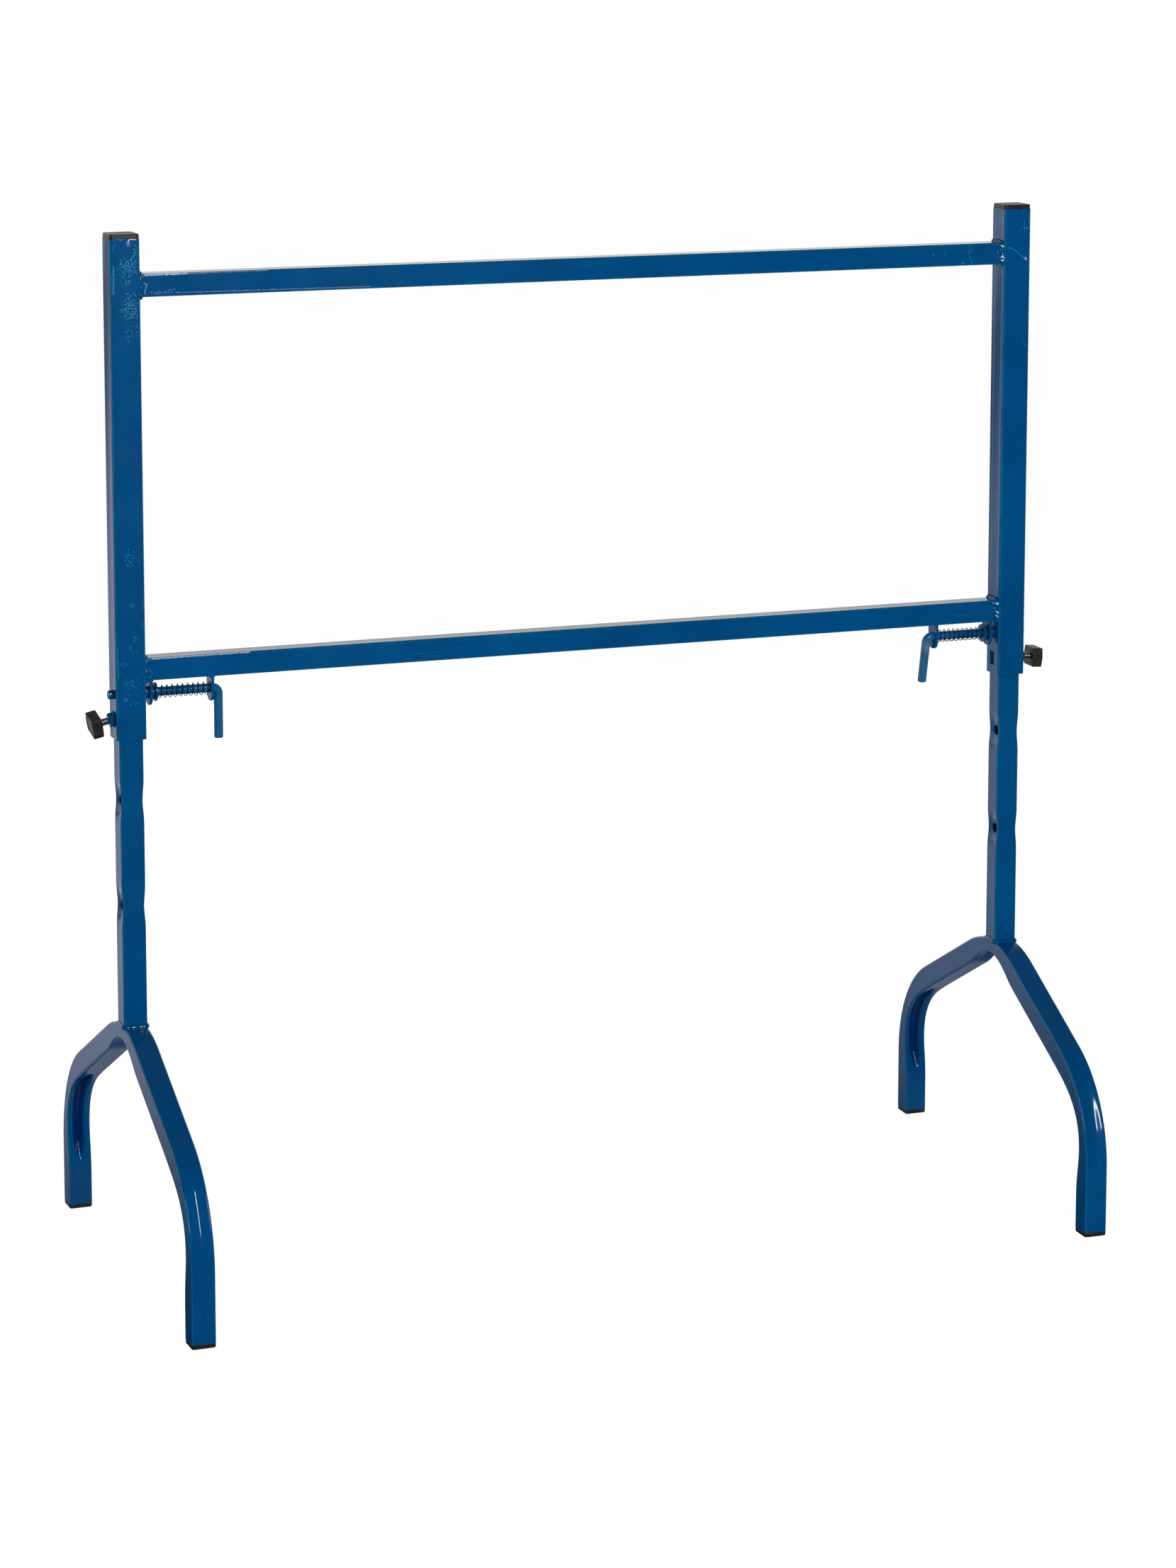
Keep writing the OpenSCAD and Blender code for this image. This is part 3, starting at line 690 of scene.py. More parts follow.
def makeUpright(side):
    outline, layers = tubeOutline(upright)
    at = atUpright(side)

    def place(i, k):
        return at @ Vector((*outline[k], i * upright["length"]))

    holes = rods((*upright["pinHole"], onPin(side) @ alongX), (*upright["clampHole"], onClamp(side)))
    window = Matrix.Translation(at @ Vector((upright["half"], 0, upright["windowRise"])))
    bmesh.ops.create_cube(holes, size=1, matrix=window @ Matrix.Diagonal((*upright["window"], 1)))
    bm = sweep(2, len(outline), place, layers=layers)
    finishPiece(f"{side}Upright", bm, f"{side}UprightEnamel", "frame", f"{side}_upright",
                wall=upright["wall"], holes=holes)


crossbar = {
    "half": 15 * mm,
    "corner": 3 * mm,
    "wall": 2 * mm,
    "length": 1220 * mm,
    "hollow": 0.14 * mm,
    "heights": {"upper": 1309 * mm, "lower": 810.5 * mm},
}


def makeCrossbar(which):
    outline, layers = tubeOutline(crossbar)
    z = crossbar["heights"][which]

    def place(i, k):
        y, n = outline[k]
        return Vector(((i - 0.5) * crossbar["length"], y, z + n))

    bm = sweep(2, len(outline), place, layers=layers)
    finishPiece(f"{which}Crossbar", bm, "barEnamel", "frame", f"{which}_crossbar",
                wall=crossbar["wall"])


# bows

bow = {
    "crown": 337 * mm,
    "half": 16 * mm,
    "corner": 3 * mm,
    "wall": 2 * mm,
    "footGap": 600 * mm,
    "footHead": 6 * mm,
    "limbSlope": 27,
    "apexRadius": 140 * mm,
    "bendRadius": 150 * mm,
    "apexPress": 14 * mm,
    "apexPressLength": 85 * mm,
    "bendPress": 13 * mm,
    "bendPressLength": 100 * mm,
    "bendPressAt": 105 * mm,
    "bendSink": 3.7 * mm,
    "sinkNarrow": 1.05,
    "sinkFade": 4,
    "groove": 0.15,
    "trough": 9 * mm,
    "troughWidth": 0.52,
    "troughLeast": 0.4,
    "troughFade": 6,
    "troughAt": 80 * mm,
    "troughUp": 85 * mm,
    "troughDown": 110 * mm,
    "troughRamp": 21 * mm,
    "crownTrough": 3 * mm,
    # the painted shade in the trough: its strength, and the share of the trough's depth at which it is full
    "pool": 0.9,
    "fullShadeDepth": 0.55,
    "hollow": 0.14 * mm,
    "step": 3.5 * mm,
}


def within(t):
    return min(max(t, 0), 1)


def ease(t):
    u = within(t)
    return u * u * (3 - 2 * u)


def crownZ(y):  # the top face of the bow under the leg tube
    radius = bow["apexRadius"] + bow["half"]
    return bow["crown"] - radius + sqrt(radius ** 2 - y * y)


def bowLine():
    apexR, bendR, footY = bow["apexRadius"], bow["bendRadius"], bow["footGap"] / 2
    slope = radians(bow["limbSlope"])
    apexZ = bow["crown"] - bow["half"] - apexR
    top = (apexR * sin(slope), apexZ + apexR * cos(slope))
    endY = footY - bendR * (1 - sin(slope))
    limb = (endY - top[0]) / cos(slope)
    low = (endY, top[1] - (endY - top[0]) * tan(slope))
    bendZ = low[1] - bendR * cos(slope)
    apexLength = apexR * slope
    bendLength = bendR * (pi / 2 - slope)
    starts = (apexLength, apexLength + limb, apexLength + limb + bendLength)
    total = starts[2] + bendZ - bow["footHead"]

    def at(s):  # Y, Z and slope at a distance from the top
        if s < starts[0]:
            a = slope * s / apexLength
            return apexR * sin(a), apexZ + apexR * cos(a), a
        if s < starts[1]:
            t = (s - starts[0]) / limb
            return top[0] + t * (low[0] - top[0]), top[1] + t * (low[1] - top[1]), slope
        if s < starts[2]:
            a = slope + (pi / 2 - slope) * (s - starts[1]) / bendLength
            return footY - bendR * (1 - sin(a)), bendZ + bendR * cos(a), a
        return footY, bendZ - (s - starts[2]), pi / 2

    def nearBend(s):
        return 1 - ease(abs(s - starts[1] - bow["bendPressAt"]) / bow["bendPressLength"])

    def trough(s):  # deepest in the bend, with a short ramp at its end towards the foot
        t = s - starts[1] - bow["troughAt"]
        if t < 0:
            bend = 1 - ease(-t / bow["troughUp"])
        else:
            bend = within((bow["troughDown"] - t) / bow["troughRamp"])
        return bow["trough"] * bend + bow["crownTrough"] * (1 - ease(s / bow["apexPressLength"]))

    return at, nearBend, trough, total


def makeBow(side):
    at, nearBend, trough, total = bowLine()
    outline, layers = tubeOutline(bow, 12)
    steps = ceil(total / bow["step"])
    leg = atLeg(side)
    half = bow["half"]

    def along(i):  # distance from the top, negative towards the front foot
        return (i - steps) / steps * total

    def lowness(n):  # 0 on the top face, 1 on the underside
        return (half - n) / (2 * half)

    def troughDepth(s, x, low):
        deep = trough(abs(s))
        least = bow["troughLeast"]
        width = half * bow["troughWidth"] * (least + (1 - least) * min(deep / bow["trough"], 1))
        return deep * low ** bow["troughFade"] * max(1 - (x / width) ** 2, 0)

    def place(i, k):
        s = along(i)
        y, z, a = at(abs(s))
        x, n = outline[k]
        low = lowness(n)
        middle = 1 - (x / half) ** 2
        near = nearBend(abs(s))
        press = bow["apexPress"] * (1 - ease(abs(s) / bow["apexPressLength"])) + bow["bendPress"] * near
        n += press * low * low * (1 + bow["groove"] * middle) + troughDepth(s, x, low)
        inwards = 0.5 * (1 + cos(pi * min(abs(x) / half * bow["sinkNarrow"], 1)))
        n -= bow["bendSink"] * near * (1 - low) ** bow["sinkFade"] * inwards
        return leg @ Vector((x, copysign(1, s) * (y + n * sin(a)), z + n * cos(a)))

    def pool(i, k):  # painted shade: the trough is coloured darker, the deeper the darker
        x, n = outline[k]
        depth = troughDepth(along(i), x, lowness(n))
        return bow["pool"] * min(depth / (bow["fullShadeDepth"] * bow["trough"]), 1)

    bm = sweep(2 * steps + 1, len(outline), place, layers={**layers, "pool": pool})
    finishPiece(f"{side}Bow", bm, "bowEnamel", f"{side}_leg", f"{side}_leg_bow", sharp=60,
                wall=bow["wall"])


# leg tubes

legTube = {
    "half": 16 * mm,
    "corner": 3 * mm,
    "wall": 2 * mm,
    "hollow": 0.14 * mm,
    "top": 948 * mm,
    "plainFrom": 20 * mm,
    "holes": [498 * mm, 638 * mm, 778 * mm, 918 * mm],
    "holeSize": (14 * mm, 60 * mm),
    "dentDepth": 1.8 * mm,
    "dimpleDepth": 3.6 * mm,
    "dentLength": 66 * mm,
    "dentSteps": 12,
    "dentShape": 1.4,
    "seat": 0.6 * mm,
}


def makeLegTube(side):
    outline, layers = tubeOutline(legTube)
    leg = atLeg(side)
    half, steps = legTube["dentLength"] / 2, legTube["dentSteps"]
    flat = legTube["half"] - legTube["corner"]
    heights = [bow["crown"], bow["crown"] + legTube["plainFrom"], legTube["top"]]
    for z in legTube["holes"]:
        heights += [z + half * t / steps for t in range(-steps, steps + 1)]
    heights = sorted(h for h in heights if h <= legTube["top"])

    def dent(y, z):
        near = min(abs(z - hole) for hole in legTube["holes"]) / half
        if near >= 1:
            return 0
        notch = (1 - ease(near)) ** legTube["dentShape"]
        across = max(1 - (y / flat) ** 2, 0)
        return notch * (legTube["dentDepth"] + legTube["dimpleDepth"] * across)

    def place(i, k):
        x, y = outline[k]
        z = heights[i]
        if abs(x) > legTube["half"] - legTube["corner"] * 1.01:
            x -= copysign(dent(y, z), x)
        if i == 0:
            z = crownZ(y) - legTube["seat"]
        return leg @ Vector((x, y, z))

    bm = sweep(len(heights), len(outline), place, layers=layers)
    tools = [(*legTube["holeSize"], leg @ Matrix.Translation((0, 0, z)) @ alongX) for z in legTube["holes"]]
    finishPiece(f"{side}LegTube", bm, "legEnamel", f"{side}_leg", f"{side}_leg_tube", sharp=50,
                wall=legTube["wall"], holes=rods(*tools))


# springs

spring = {
    "wire": 1.3 * mm,
    "start": 37.9 * mm,
    "end": 109 * mm,
    "coilRadius": 8.1 * mm,
    "turns": 10,
    "stepsPerTurn": 32,
    "wireSides": 10,
    "pull": 45 * mm,
}


def makeSpring(side):
    steps = spring["turns"] * spring["stepsPerTurn"]
    first = spring["start"] + spring["wire"] / 2
    length = spring["end"] - spring["start"]
    travel = length - spring["wire"]
    pin = onPin(side)
    lean = atan2(travel / spring["turns"], 2 * pi * spring["coilRadius"])

    def place(i, k):
        turn = 2 * pi * i / spring["stepsPerTurn"]
        a = 2 * pi * k / spring["wireSides"]
        out = spring["coilRadius"] + spring["wire"] / 2 * cos(a)
        along = spring["wire"] / 2 * sin(a)
        turn -= along * sin(lean) / spring["coilRadius"]
        x = first + travel * i / steps + along * cos(lean)
        return pin @ Vector((x, out * sin(turn), out * cos(turn)))

    bm = sweep(steps + 1, spring["wireSides"], place, "filled")
    piece = finishPiece(f"{side}Coil", bm, "springSteel", "frame", f"{side}_spring", sharp=60)
    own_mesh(piece)


# locking pins and what sits on them

lockPin = {
    "radius": 6 * mm,
    "tip": -26.5 * mm,
    "chamfer": 1.2 * mm,
    "chamferMid": (0.35, 0.45),
    "bendStart": 113.3 * mm,
    "bendRadius": 8 * mm,
    "drop": 67 * mm,
    "bendSteps": 14,
    "sides": 40,
}
rollPin = {
    "at": 32.8 * mm,
    "size": 4 * mm,
    "wall": 0.8 * mm,
    "length": 20 * mm,
    "slit": 0.8 * mm,
    "edge": 0.2 * mm,
    "holeLength": 30 * mm,
    "steps": 28,
}


def makeLockPin(side):
    r, c, bend = lockPin["radius"], lockPin["chamfer"], lockPin["bendRadius"]
    tip, drop = lockPin["tip"], lockPin["drop"]
    midAlong, midIn = (c * share for share in lockPin["chamferMid"])
    pin = swungPin(side)
    path = [(tip, 0, 0, r - c), (tip + midAlong, 0, 0, r - midIn), (tip + c, 0, 0, r),
            (lockPin["bendStart"], 0, 0, r)]
    for i in range(1, lockPin["bendSteps"] + 1):
        a = pi / 2 * i / lockPin["bendSteps"]
        path.append((lockPin["bendStart"] + bend * sin(a), -bend * (1 - cos(a)), a, r))
    handleX = lockPin["bendStart"] + bend
    for z, size in ((c - drop, r), (midAlong - drop, r - midIn), (-drop, r - c)):
        path.append((handleX, z, pi / 2, size))

    def place(i, k):
        x, z, a, size = path[i]
        turn = 2 * pi * k / lockPin["sides"]
        out = size * cos(turn)
        return pin @ Vector((x + out * sin(a), size * sin(turn), z + out * cos(a)))

    bm = sweep(len(path), lockPin["sides"], place, "filled")
    holes = rods((rollPin["size"], rollPin["holeLength"], pin @ Matrix.Translation((rollPin["at"], 0, 0))))
    finishPiece(f"{side}LockPin", bm, "handleEnamel", f"{side}_pin", f"{side}_locking_pin",
                sharp=50, holes=holes)


def makeRollPin(side):
    outer, inner = rollPin["size"] / 2, rollPin["size"] / 2 - rollPin["wall"]
    start = asin(rollPin["slit"] / 2 / inner)
    steps = rollPin["steps"]
    arc = [start + (2 * pi - 2 * start) * i / steps for i in range(steps + 1)]
    points = [(outer * cos(a), outer * sin(a)) for a in arc]
    points += [(inner * cos(a), inner * sin(a)) for a in reversed(arc)]
    bm = plate(points, rollPin["length"])
    softEdges(bm, rollPin["edge"], segments=1, least=60)
    moveTo(bm, swungPin(side) @ Matrix.Translation((rollPin["at"], 0, -rollPin["length"] / 2)))
    finishPiece(f"{side}RollPin", bm, "zincPlate", f"{side}_pin", f"{side}_roll_pin")


washer = {"from": 35.1 * mm, "to": 37.6 * mm, "bore": 6.5 * mm, "radius": 12.5 * mm, "edge": 0.5 * mm}
bush = {"from": 20 * mm, "to": 26.5 * mm, "bore": 6.5 * mm, "radius": 8 * mm, "edge": 0.4 * mm}
sleeve = {"edgeMid": 0.3, "steps": 56}


def makeSleeve(name, side, size, body, node):
    start, end, r, e = size["from"], size["to"], size["radius"], size["edge"]
    mid = e * sleeve["edgeMid"]
    profile = [(start, size["bore"]), (start, r - e), (start + mid, r - mid), (start + e, r),
               (end - e, r), (end - mid, r - mid), (end, r - e), (end, size["bore"])]
    bm = spun(profile, sleeve["steps"])
    moveTo(bm, onPin(side))
    finishPiece(name, bm, "lugEnamel", body, node)


lug = {
    "guide": 26.5 * mm,
    "spring": 109 * mm,
    "thickness": 4 * mm,
    "width": 25 * mm,
    "tail": 17 * mm,
    "top": 17.5 * mm,
    "bore": (13 * mm, 20 * mm),
    "edge": 0.6 * mm,
    "steps": 32,
}


def makeLug(side, which):
    half, low = lug["width"] / 2, lug["width"] / 2 - lug["tail"]
    points = [(half, lug["top"]), (-half, lug["top"])]
    for i in range(lug["steps"] + 1):
        a = pi + pi * i / lug["steps"]
        points.append((half * cos(a), low + half * sin(a)))
    bm = plate(points, lug["thickness"])
    softEdges(bm, lug["edge"], segments=3, least=60)
    stand = Matrix(((0, 0, 1, lug[which]), (1, 0, 0, 0), (0, 1, 0, 0), (0, 0, 0, 1)))
    moveTo(bm, onPin(side) @ stand)
    holes = rods((*lug["bore"], onPin(side) @ Matrix.Translation((lug[which], 0, 0)) @ alongX))
    finishPiece(f"{side}{which.capitalize()}Lug", bm, "lugEnamel", "frame",
                f"{side}_{which}_lug", holes=holes)


# clamps

clamp = {
    "tip": {"left": -3.014 * mm, "right": -4.395 * mm},
    "pointRadius": 3.5 * mm,
    "pointLength": 3 * mm,
    "pointEdge": 0.6 * mm,
    "neck": 0.4 * mm,
    "radius": 5 * mm,
    "root": 4.35 * mm,
    "pitch": 1.5 * mm,
    "length": 30.7 * mm,
    "plainEnd": 1 * mm,
    "sides": 28,
    "stepsPerPitch": 6,
    "nutFlats": 17 * mm,
    "nutHeight": 6.5 * mm,
    "nutEdge": 0.7 * mm,
    "nutBore": (10.4 * mm, 40 * mm),
}


def makeClampScrew(side):
    stand = onClamp(side) @ Matrix.Translation((0, 0, clamp["tip"][side]))
    point, pointR, edge = clamp["pointLength"], clamp["pointRadius"], clamp["pointEdge"]
    threadLength = clamp["length"] - point - clamp["plainEnd"]
    threaded = int(threadLength / clamp["pitch"] * clamp["stepsPerPitch"])
    step = clamp["pitch"] / clamp["stepsPerPitch"]
    path = [(0, pointR - edge), (edge, pointR), (point, pointR), (point + clamp["neck"], clamp["root"])]
    plain = len(path)
    first = point + 2 * clamp["neck"]

    def place(i, k):
        turn = 2 * pi * k / clamp["sides"]
        if i < plain:
            z, r = path[i]
        else:
            z = first + (i - plain) * step
            phase = (z / clamp["pitch"] - k / clamp["sides"]) % 1
            crest = within(1.5 - abs(phase - 0.5) * 4)
            r = clamp["root"] + (clamp["radius"] - clamp["root"]) * crest
        return stand @ Vector((r * cos(turn), r * sin(turn), min(z, clamp["length"])))

    bm = sweep(plain + threaded, clamp["sides"], place, "filled")
    finishPiece(f"{side}ClampScrew", bm, "zincPlate", f"{side}_clamp_screw",
                f"{side}_clamp_screw", sharp=50)


def makeClampNut(side):
    bm = bmesh.new()
    across = clamp["nutFlats"] / sqrt(3)
    bmesh.ops.create_cone(bm, cap_ends=True, segments=6, radius1=across, radius2=across,
                          depth=2 * clamp["nutHeight"], matrix=Matrix.Rotation(pi / 2, 4, "Z"))
    softEdges(bm, clamp["nutEdge"], segments=3, least=30)
    moveTo(bm, onClamp(side))
    face = atUpright(side) @ Vector((-trestle["uprightSize"] / 2, 0, 0))
    inwards = atUpright(side).to_3x3() @ Vector((1, 0, 0))
    bmesh.ops.bisect_plane(bm, geom=bm.verts[:] + bm.edges[:] + bm.faces[:], dist=1e-7, plane_co=face,
                           plane_no=inwards, clear_outer=True)
    closeEnds(bm)
    finishPiece(f"{side}ClampNut", bm, "plainEnamel", "frame", f"{side}_clamp_nut",
                holes=rods((*clamp["nutBore"], onClamp(side))))


knob = {
    "face": {"left": 17.99 * mm, "right": 16.6 * mm},
    "turn": {"left": 72, "right": 91},
    "length": 33 * mm,
    "flat": 28.5 * mm,
    "width": 26.5 * mm,
    "thickness": 14 * mm,
    "edge": 1.3 * mm,
    "bore": (10.1 * mm, 20 * mm),
    "rim": 2.2 * mm,
    "dishSlope": 0.8 * mm,
    "dish": 0.7 * mm,
}


def makeKnob(side):
    tip, flat, wide = knob["length"] / 2, knob["flat"] / 2, knob["width"] / 2
    points = [(flat, -wide), (tip, 0), (flat, wide), (-flat, wide), (-tip, 0), (-flat, -wide)]
    bm = plate(points, knob["thickness"])
    softEdges(bm, knob["edge"], segments=3, least=20)
    end = max(bm.faces, key=lambda face: face.calc_center_median().z)
    bmesh.ops.inset_region(bm, faces=[end], thickness=knob["rim"], depth=0)
    bmesh.ops.inset_region(bm, faces=[end], thickness=knob["dishSlope"], depth=-knob["dish"])
    stand = onClamp(side) @ Matrix.Translation((0, 0, knob["face"][side]))
    moveTo(bm, stand @ Matrix.Rotation(radians(knob["turn"][side]), 4, "Z"))
    finishPiece(f"{side}Knob", bm, "knobPlastic", f"{side}_clamp_knob", f"{side}_clamp_knob",
                holes=rods((*knob["bore"], stand)))


# plastic caps

cap = {
    "top": {"half": 19.5 * mm, "corner": 4 * mm, "head": 6 * mm, "plug": 15.8 * mm, "fin": 17.4 * mm},
    "foot": {"half": 15.8 * mm, "corner": 3 * mm, "head": 6 * mm, "plug": 12.3 * mm, "fin": 13.9 * mm},
    "plugLength": 16 * mm,
    "lead": 1 * mm,
    "fins": 3,
    "rim": 0.3 * mm,
    "chamfer": 1.4 * mm,
    "chamferAngles": (22, 45, 68, 90),
    "panel": 4.5 * mm,
    "panelSlope": 1.2 * mm,
    "panelDepth": 0.45 * mm,
}


def makeCap(name, kind, body, node, stand):
    size = cap[kind]
    half, head, plug, c = size["half"], size["head"], size["plug"], cap["chamfer"]
    bottom = -cap["plugLength"]
    path = [(bottom, plug - cap["lead"]), (bottom + cap["lead"], plug)]
    finStep = cap["plugLength"] / (cap["fins"] + 1)
    for i in range(cap["fins"]):
        low = bottom + (i + 0.5) * finStep
        path += [(low, plug), (low, size["fin"]), (low + finStep / 3, size["fin"]), (low + finStep / 3, plug)]
    path += [(0, plug), (0, half - cap["rim"]), (cap["rim"], half), (head - c, half)]
    for a in map(radians, cap["chamferAngles"]):
        path.append((head - c + c * sin(a), half - c + c * cos(a)))
    panel = half - cap["panel"]
    path += [(head, panel), (head - cap["panelDepth"], panel - cap["panelSlope"])]
    outline = roundedSquare(half, size["corner"], 4, 6)

    def place(i, k):
        z, reach = path[i]
        x, y = outline[k]
        return stand @ Vector((x * reach / half, y * reach / half, z))

    bm = sweep(len(path), len(outline), place, "filled")
    finishPiece(name, bm, "blackPlastic", body, node, sharp=40)


# weld beads

bead = {
    "bar": {"radius": 3.0 * mm, "lump": 0.28},
    "crown": {"radius": 3.4 * mm, "lump": 0.05},
    "lug": {"radius": 1.9 * mm, "lump": 0.2},
    "nut": {"radius": 1.8 * mm, "lump": 0.22},
    "barInset": 0.9 * mm,
    "barOut": 0.2 * mm,
    "crownIn": 0.4 * mm,
    "crownRise": 0.2 * mm,
    "lugShare": 0.88,
    "lugDrop": 0.3 * mm,
    "nutShare": 1.04,
    "nutOut": 0.2 * mm,
    "endShare": 0.4,
    "wave": 0.55,
    "waveStep": 0.9,
    "scatter": 0.6,
    "sides": 12,
    "spacing": 1.6 * mm,
}


def makeBead(name, kind, path, body, closed=True, material="beadEnamel"):
    rows = random.Random(name)
    size = bead[kind]
    count = len(path)
    swell = []
    for i in range(count):
        wave = bead["wave"] * sin(bead["waveStep"] * i + rows.random())
        swell.append(1 + size["lump"] * (wave + rows.uniform(-bead["scatter"], bead["scatter"])))

    def place(i, k):
        here = path[i]
        after = path[(i + 1) % count] if closed or i < count - 1 else here
        before = path[i - 1] if closed or i else here
        along = (after - before).normalized()
        across = along.orthogonal() if abs(along.x) > 0.9 else along.cross(Vector((1, 0, 0)))
        across = across.normalized()
        up = along.cross(across)
        a = 2 * pi * k / bead["sides"]
        r = size["radius"] * swell[i]
        if not closed and i in (0, count - 1):
            r *= bead["endShare"]
        return here + r * (cos(a) * across + sin(a) * up)

    bm = sweep(count, bead["sides"], place, "joined" if closed else "filled")
    finishPiece(name, bm, material, body, sharp=80)


def roundPath(half, corner):  # evenly spaced points round a square
    flat = 2 * (half - corner)
    sidePoints = max(round(flat / bead["spacing"]), 2)
    return roundedSquare(half, corner, sidePoints, max(round(corner * pi / 2 / bead["spacing"]), 2))


def makeBarBead(side, which):
    x = sides[side] * (crossbar["length"] / 2 - bead["barInset"])
    z = crossbar["heights"][which]
    outline = roundPath(crossbar["half"] + bead["barOut"], crossbar["corner"])
    path = [Vector((x, y, z + n)) for y, n in outline]
    makeBead(f"{side}{which.capitalize()}BarBead", "bar", path, "frame")


def makeCrownBead(side):
    leg = atLeg(side)
    outline = roundPath(legTube["half"] - bead["crownIn"], legTube["corner"])
    path = [leg @ Vector((x, y, crownZ(y) + bead["crownRise"])) for x, y in outline]
    makeBead(f"{side}CrownBead", "crown", path, f"{side}_leg", material="plainEnamel")


def makeLugBeads(side, which):
    pin = onPin(side)
    width, z = lug["width"] * bead["lugShare"], lug["top"] - bead["lugDrop"]
    count = round(width / bead["spacing"])
    for end, x in (("Near", lug[which]), ("Far", lug[which] + lug["thickness"])):
        path = [pin @ Vector((x, width * (i / count - 0.5), z)) for i in range(count + 1)]
        makeBead(f"{side}{which.capitalize()}Lug{end}Bead", "lug", path, "frame", closed=False)


def makeNutBead(side):
    around = clamp["nutFlats"] / 2 * bead["nutShare"]
    count = round(2 * pi * around / bead["spacing"])
    at = atUpright(side)
    path = []
    for i in range(count):
        a = 2 * pi * i / count
        path.append(at @ Vector((-trestle["uprightSize"] / 2 - bead["nutOut"], around * sin(a),
                                 trestle["clampRise"][side] + around * cos(a))))
    makeBead(f"{side}NutBead", "nut", path, "frame")


for which in ("upper", "lower"):
    makeCrossbar(which)
for side in sides:
    makeUpright(side)
    makeLegTube(side)
    makeBow(side)
    makeSpring(side)
    makeLockPin(side)
    makeRollPin(side)
    makeSleeve(f"{side}Washer", side, washer, f"{side}_washer", f"{side}_washer")
    makeSleeve(f"{side}GuideBush", side, bush, "frame", f"{side}_guide_bush")
    makeClampScrew(side)
    makeClampNut(side)
    makeKnob(side)
    makeCap(f"{side}TopCap", "top", "frame", f"{side}_top_cap",
            atUpright(side) @ Matrix.Translation((0, 0, upright["length"])))
    for end, way in (("front", -1), ("rear", 1)):
        stand = atLeg(side) @ Matrix.Translation((0, way * bow["footGap"] / 2, bow["footHead"]))
        makeCap(f"{side}{end.capitalize()}Foot", "foot", f"{side}_leg", f"{side}_{end}_foot",
                stand @ Matrix.Rotation(pi, 4, "X"))
    for which in ("guide", "spring"):
        makeLug(side, which)
        makeLugBeads(side, which)
    for which in ("upper", "lower"):
        makeBarBead(side, which)
    makeCrownBead(side)
    makeNutBead(side)
print("pieces made")


# floor, light and background

studio = {
    "floorSize": 30.0,
    "floorShare": 0.15,
    "floorColour": (0.86, 0.86, 0.86, 1),
    "floorGlow": 1.13,
    "glossTint": (0.86, 0.92, 1.12, 1),
    "white": (1, 1, 1, 1),
    "ambient": 0.5,
    "ambientAbove": 0.08,
    "ceilingGlow": 0.06,
}


def mirroredRays(tree, path):  # rays by which gloss or glass shows what stands around
    return most(tree, path["Is Glossy Ray"], path["Is Transmission Ray"])


def makeFloor():
    bm = bmesh.new()
    bmesh.ops.create_grid(bm, x_segments=2, y_segments=2, size=studio["floorSize"] / 2)
    floor = linkMesh("floor", bm)
    material = bpy.data.materials.new("floorPaper")
    material.use_nodes = True
    tree = material.node_tree
    tree.nodes.clear()
    path = tree.nodes.new("ShaderNodeLightPath").outputs
    place = tree.nodes.new("ShaderNodeTexCoord").outputs["Object"]
    where = addNode(tree, "ShaderNodeSeparateXYZ", Vector=place).outputs
    # in gloss the paper is bright behind the trestle and falls off to the left and to the front
    behind = ramp(tree, where["Y"], -0.3, 1.6, 0.01, 0.9)
    right = ramp(tree, where["X"], -3.4, -1.8, 0.28, 0.8)
    farLeft = ramp(tree, where["X"], -4.2, -5.2, 0.0, 1.1)
    mirrored = mirroredRays(tree, path)
    glossy = times(tree, mirrored, times(tree, behind, most(tree, right, farLeft)))
    seen = times(tree, path["Is Camera Ray"], 1 - studio["floorShare"])
    share = most(tree, seen, mirrored)
    strength = scaled(tree, path["Is Camera Ray"], gain=studio["floorGlow"], base=glossy)
    matt = addNode(tree, "ShaderNodeBsdfDiffuse", Color=studio["floorColour"]).outputs[0]
    tint = mixColour(tree, path["Is Camera Ray"], studio["glossTint"], studio["white"])
    glow = addNode(tree, "ShaderNodeEmission", Color=tint, Strength=strength).outputs[0]
    both = addNode(tree, "ShaderNodeMixShader", share, matt, glow).outputs[0]
    addNode(tree, "ShaderNodeOutputMaterial", Surface=both)
    floor.data.materials.append(material)


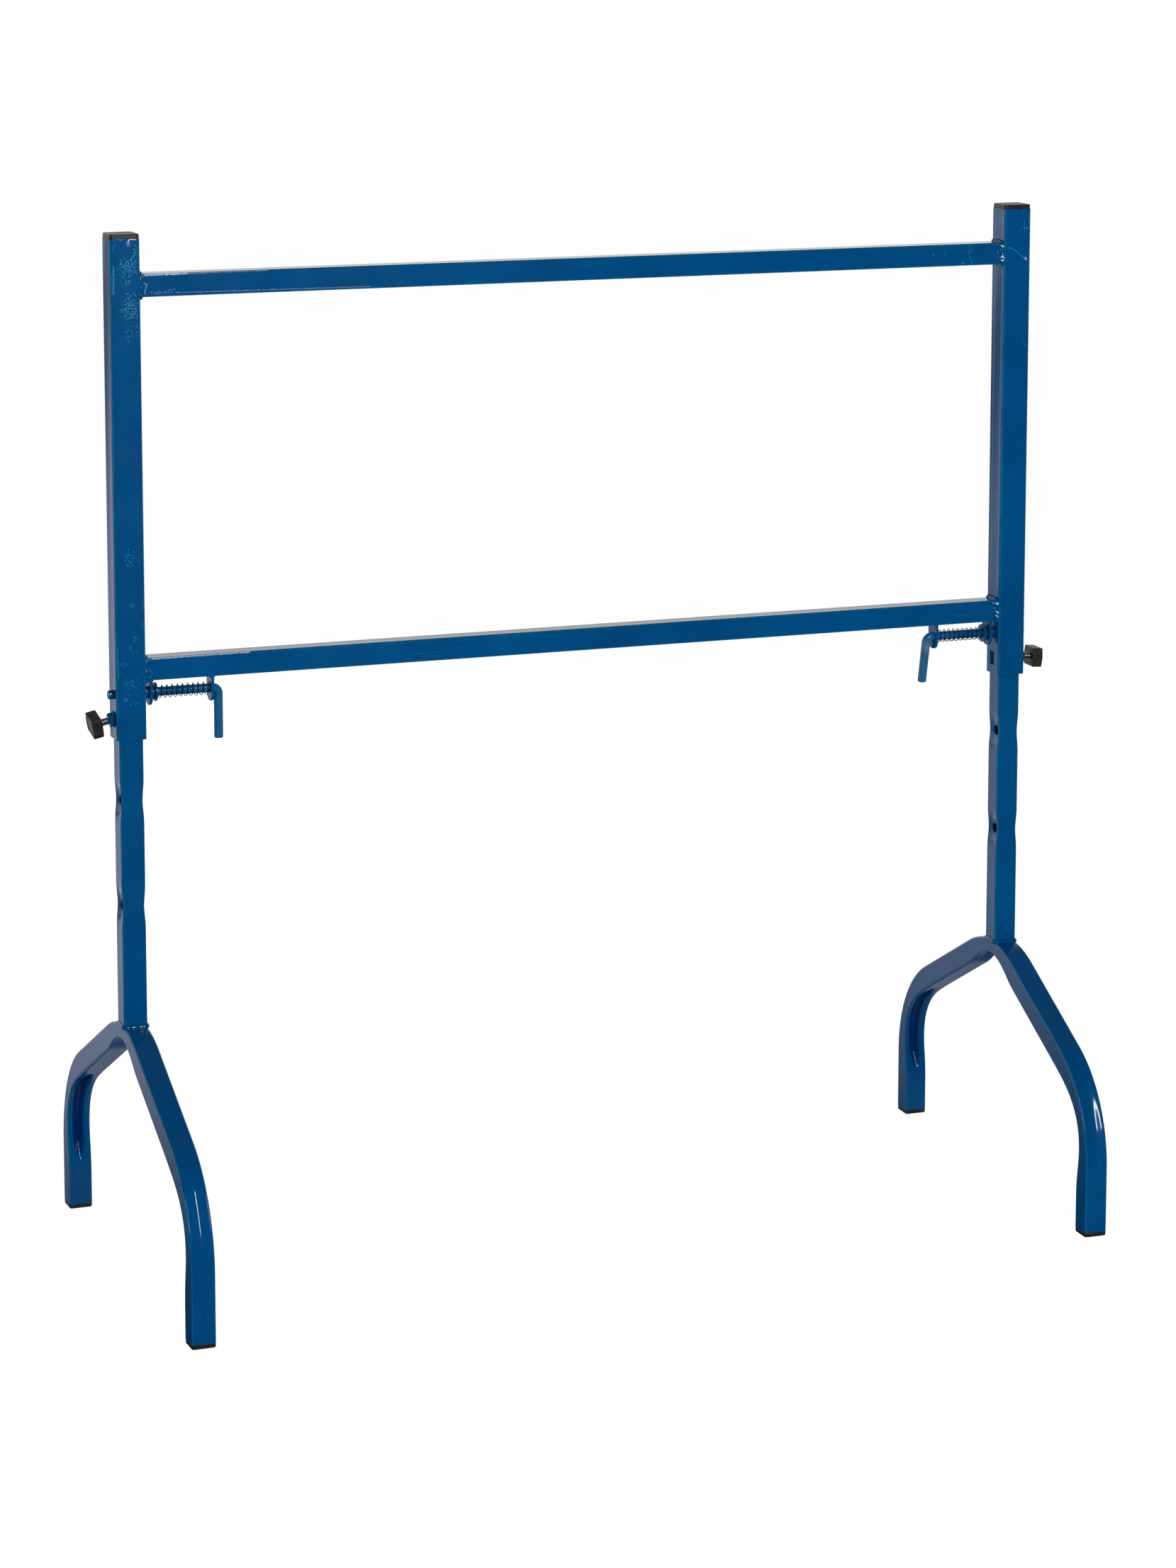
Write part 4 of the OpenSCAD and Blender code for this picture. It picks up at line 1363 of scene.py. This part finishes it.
def makeWorld():
    world = bpy.data.worlds.new("studio")
    bpy.context.scene.world = world
    world.use_nodes = True
    tree = world.node_tree
    tree.nodes.clear()
    path = tree.nodes.new("ShaderNodeLightPath").outputs
    direction = tree.nodes.new("ShaderNodeTexCoord").outputs["Generated"]
    parts = addNode(tree, "ShaderNodeSeparateXYZ", Vector=direction).outputs
    behind = ramp(tree, parts["Y"], -0.25, 0.35, 0.0, 1.0)
    low = ramp(tree, parts["Z"], 0.35, 0.75, 1.0, studio["ceilingGlow"])
    mirrored = mirroredRays(tree, path)
    fromAbove = ramp(tree, parts["Z"], 0.1, 0.8, studio["ambient"], studio["ambientAbove"])
    ambient = times(tree, mathNode(tree, "SUBTRACT", 1.0, mirrored), fromAbove)
    lit = mathNode(tree, "ADD", ambient, times(tree, mirrored, behind, low))
    strength = most(tree, lit, path["Is Camera Ray"])
    background = addNode(tree, "ShaderNodeBackground", Color=studio["white"], Strength=strength).outputs[0]
    addNode(tree, "ShaderNodeOutputWorld", Surface=background)


def makeLamp(name, place, aim, size, power, mirrored=False):  # mirrored: the paint shows it
    data = bpy.data.lights.new(name, "AREA")
    data.shape = "RECTANGLE"
    data.size, data.size_y = size
    data.energy = power
    lamp = bpy.data.objects.new(name, data)
    lamp.location = place
    lamp.visible_glossy = mirrored
    lamp.rotation_euler = (Vector(aim) - Vector(place)).to_track_quat("-Z", "Y").to_euler()
    bpy.context.scene.collection.objects.link(lamp)


makeCamera()
makeFloor()
makeWorld()
makeLamp("longStrip", place=(0.0, -2.95, 2.0), aim=(0.0, -2.3, 1.24), size=(0.24, 1.9), power=40,
         mirrored=True)
makeLamp("lowFill", place=(-2.8, -0.9, 0.5), aim=(0.2, 0, 0.2), size=(0.9, 0.7), power=9)
makeLamp("frontFill", place=(0.2, -3.6, 1.15), aim=(0, 0, 0.7), size=(2.0, 1.6), power=44)
makeLamp("backFill", place=(0.6, 3.8, 1.0), aim=(0, 0, 0.7), size=(2.5, 1.6), power=80)
bpy.context.scene.view_settings.view_transform = "Standard"
print("studio made")
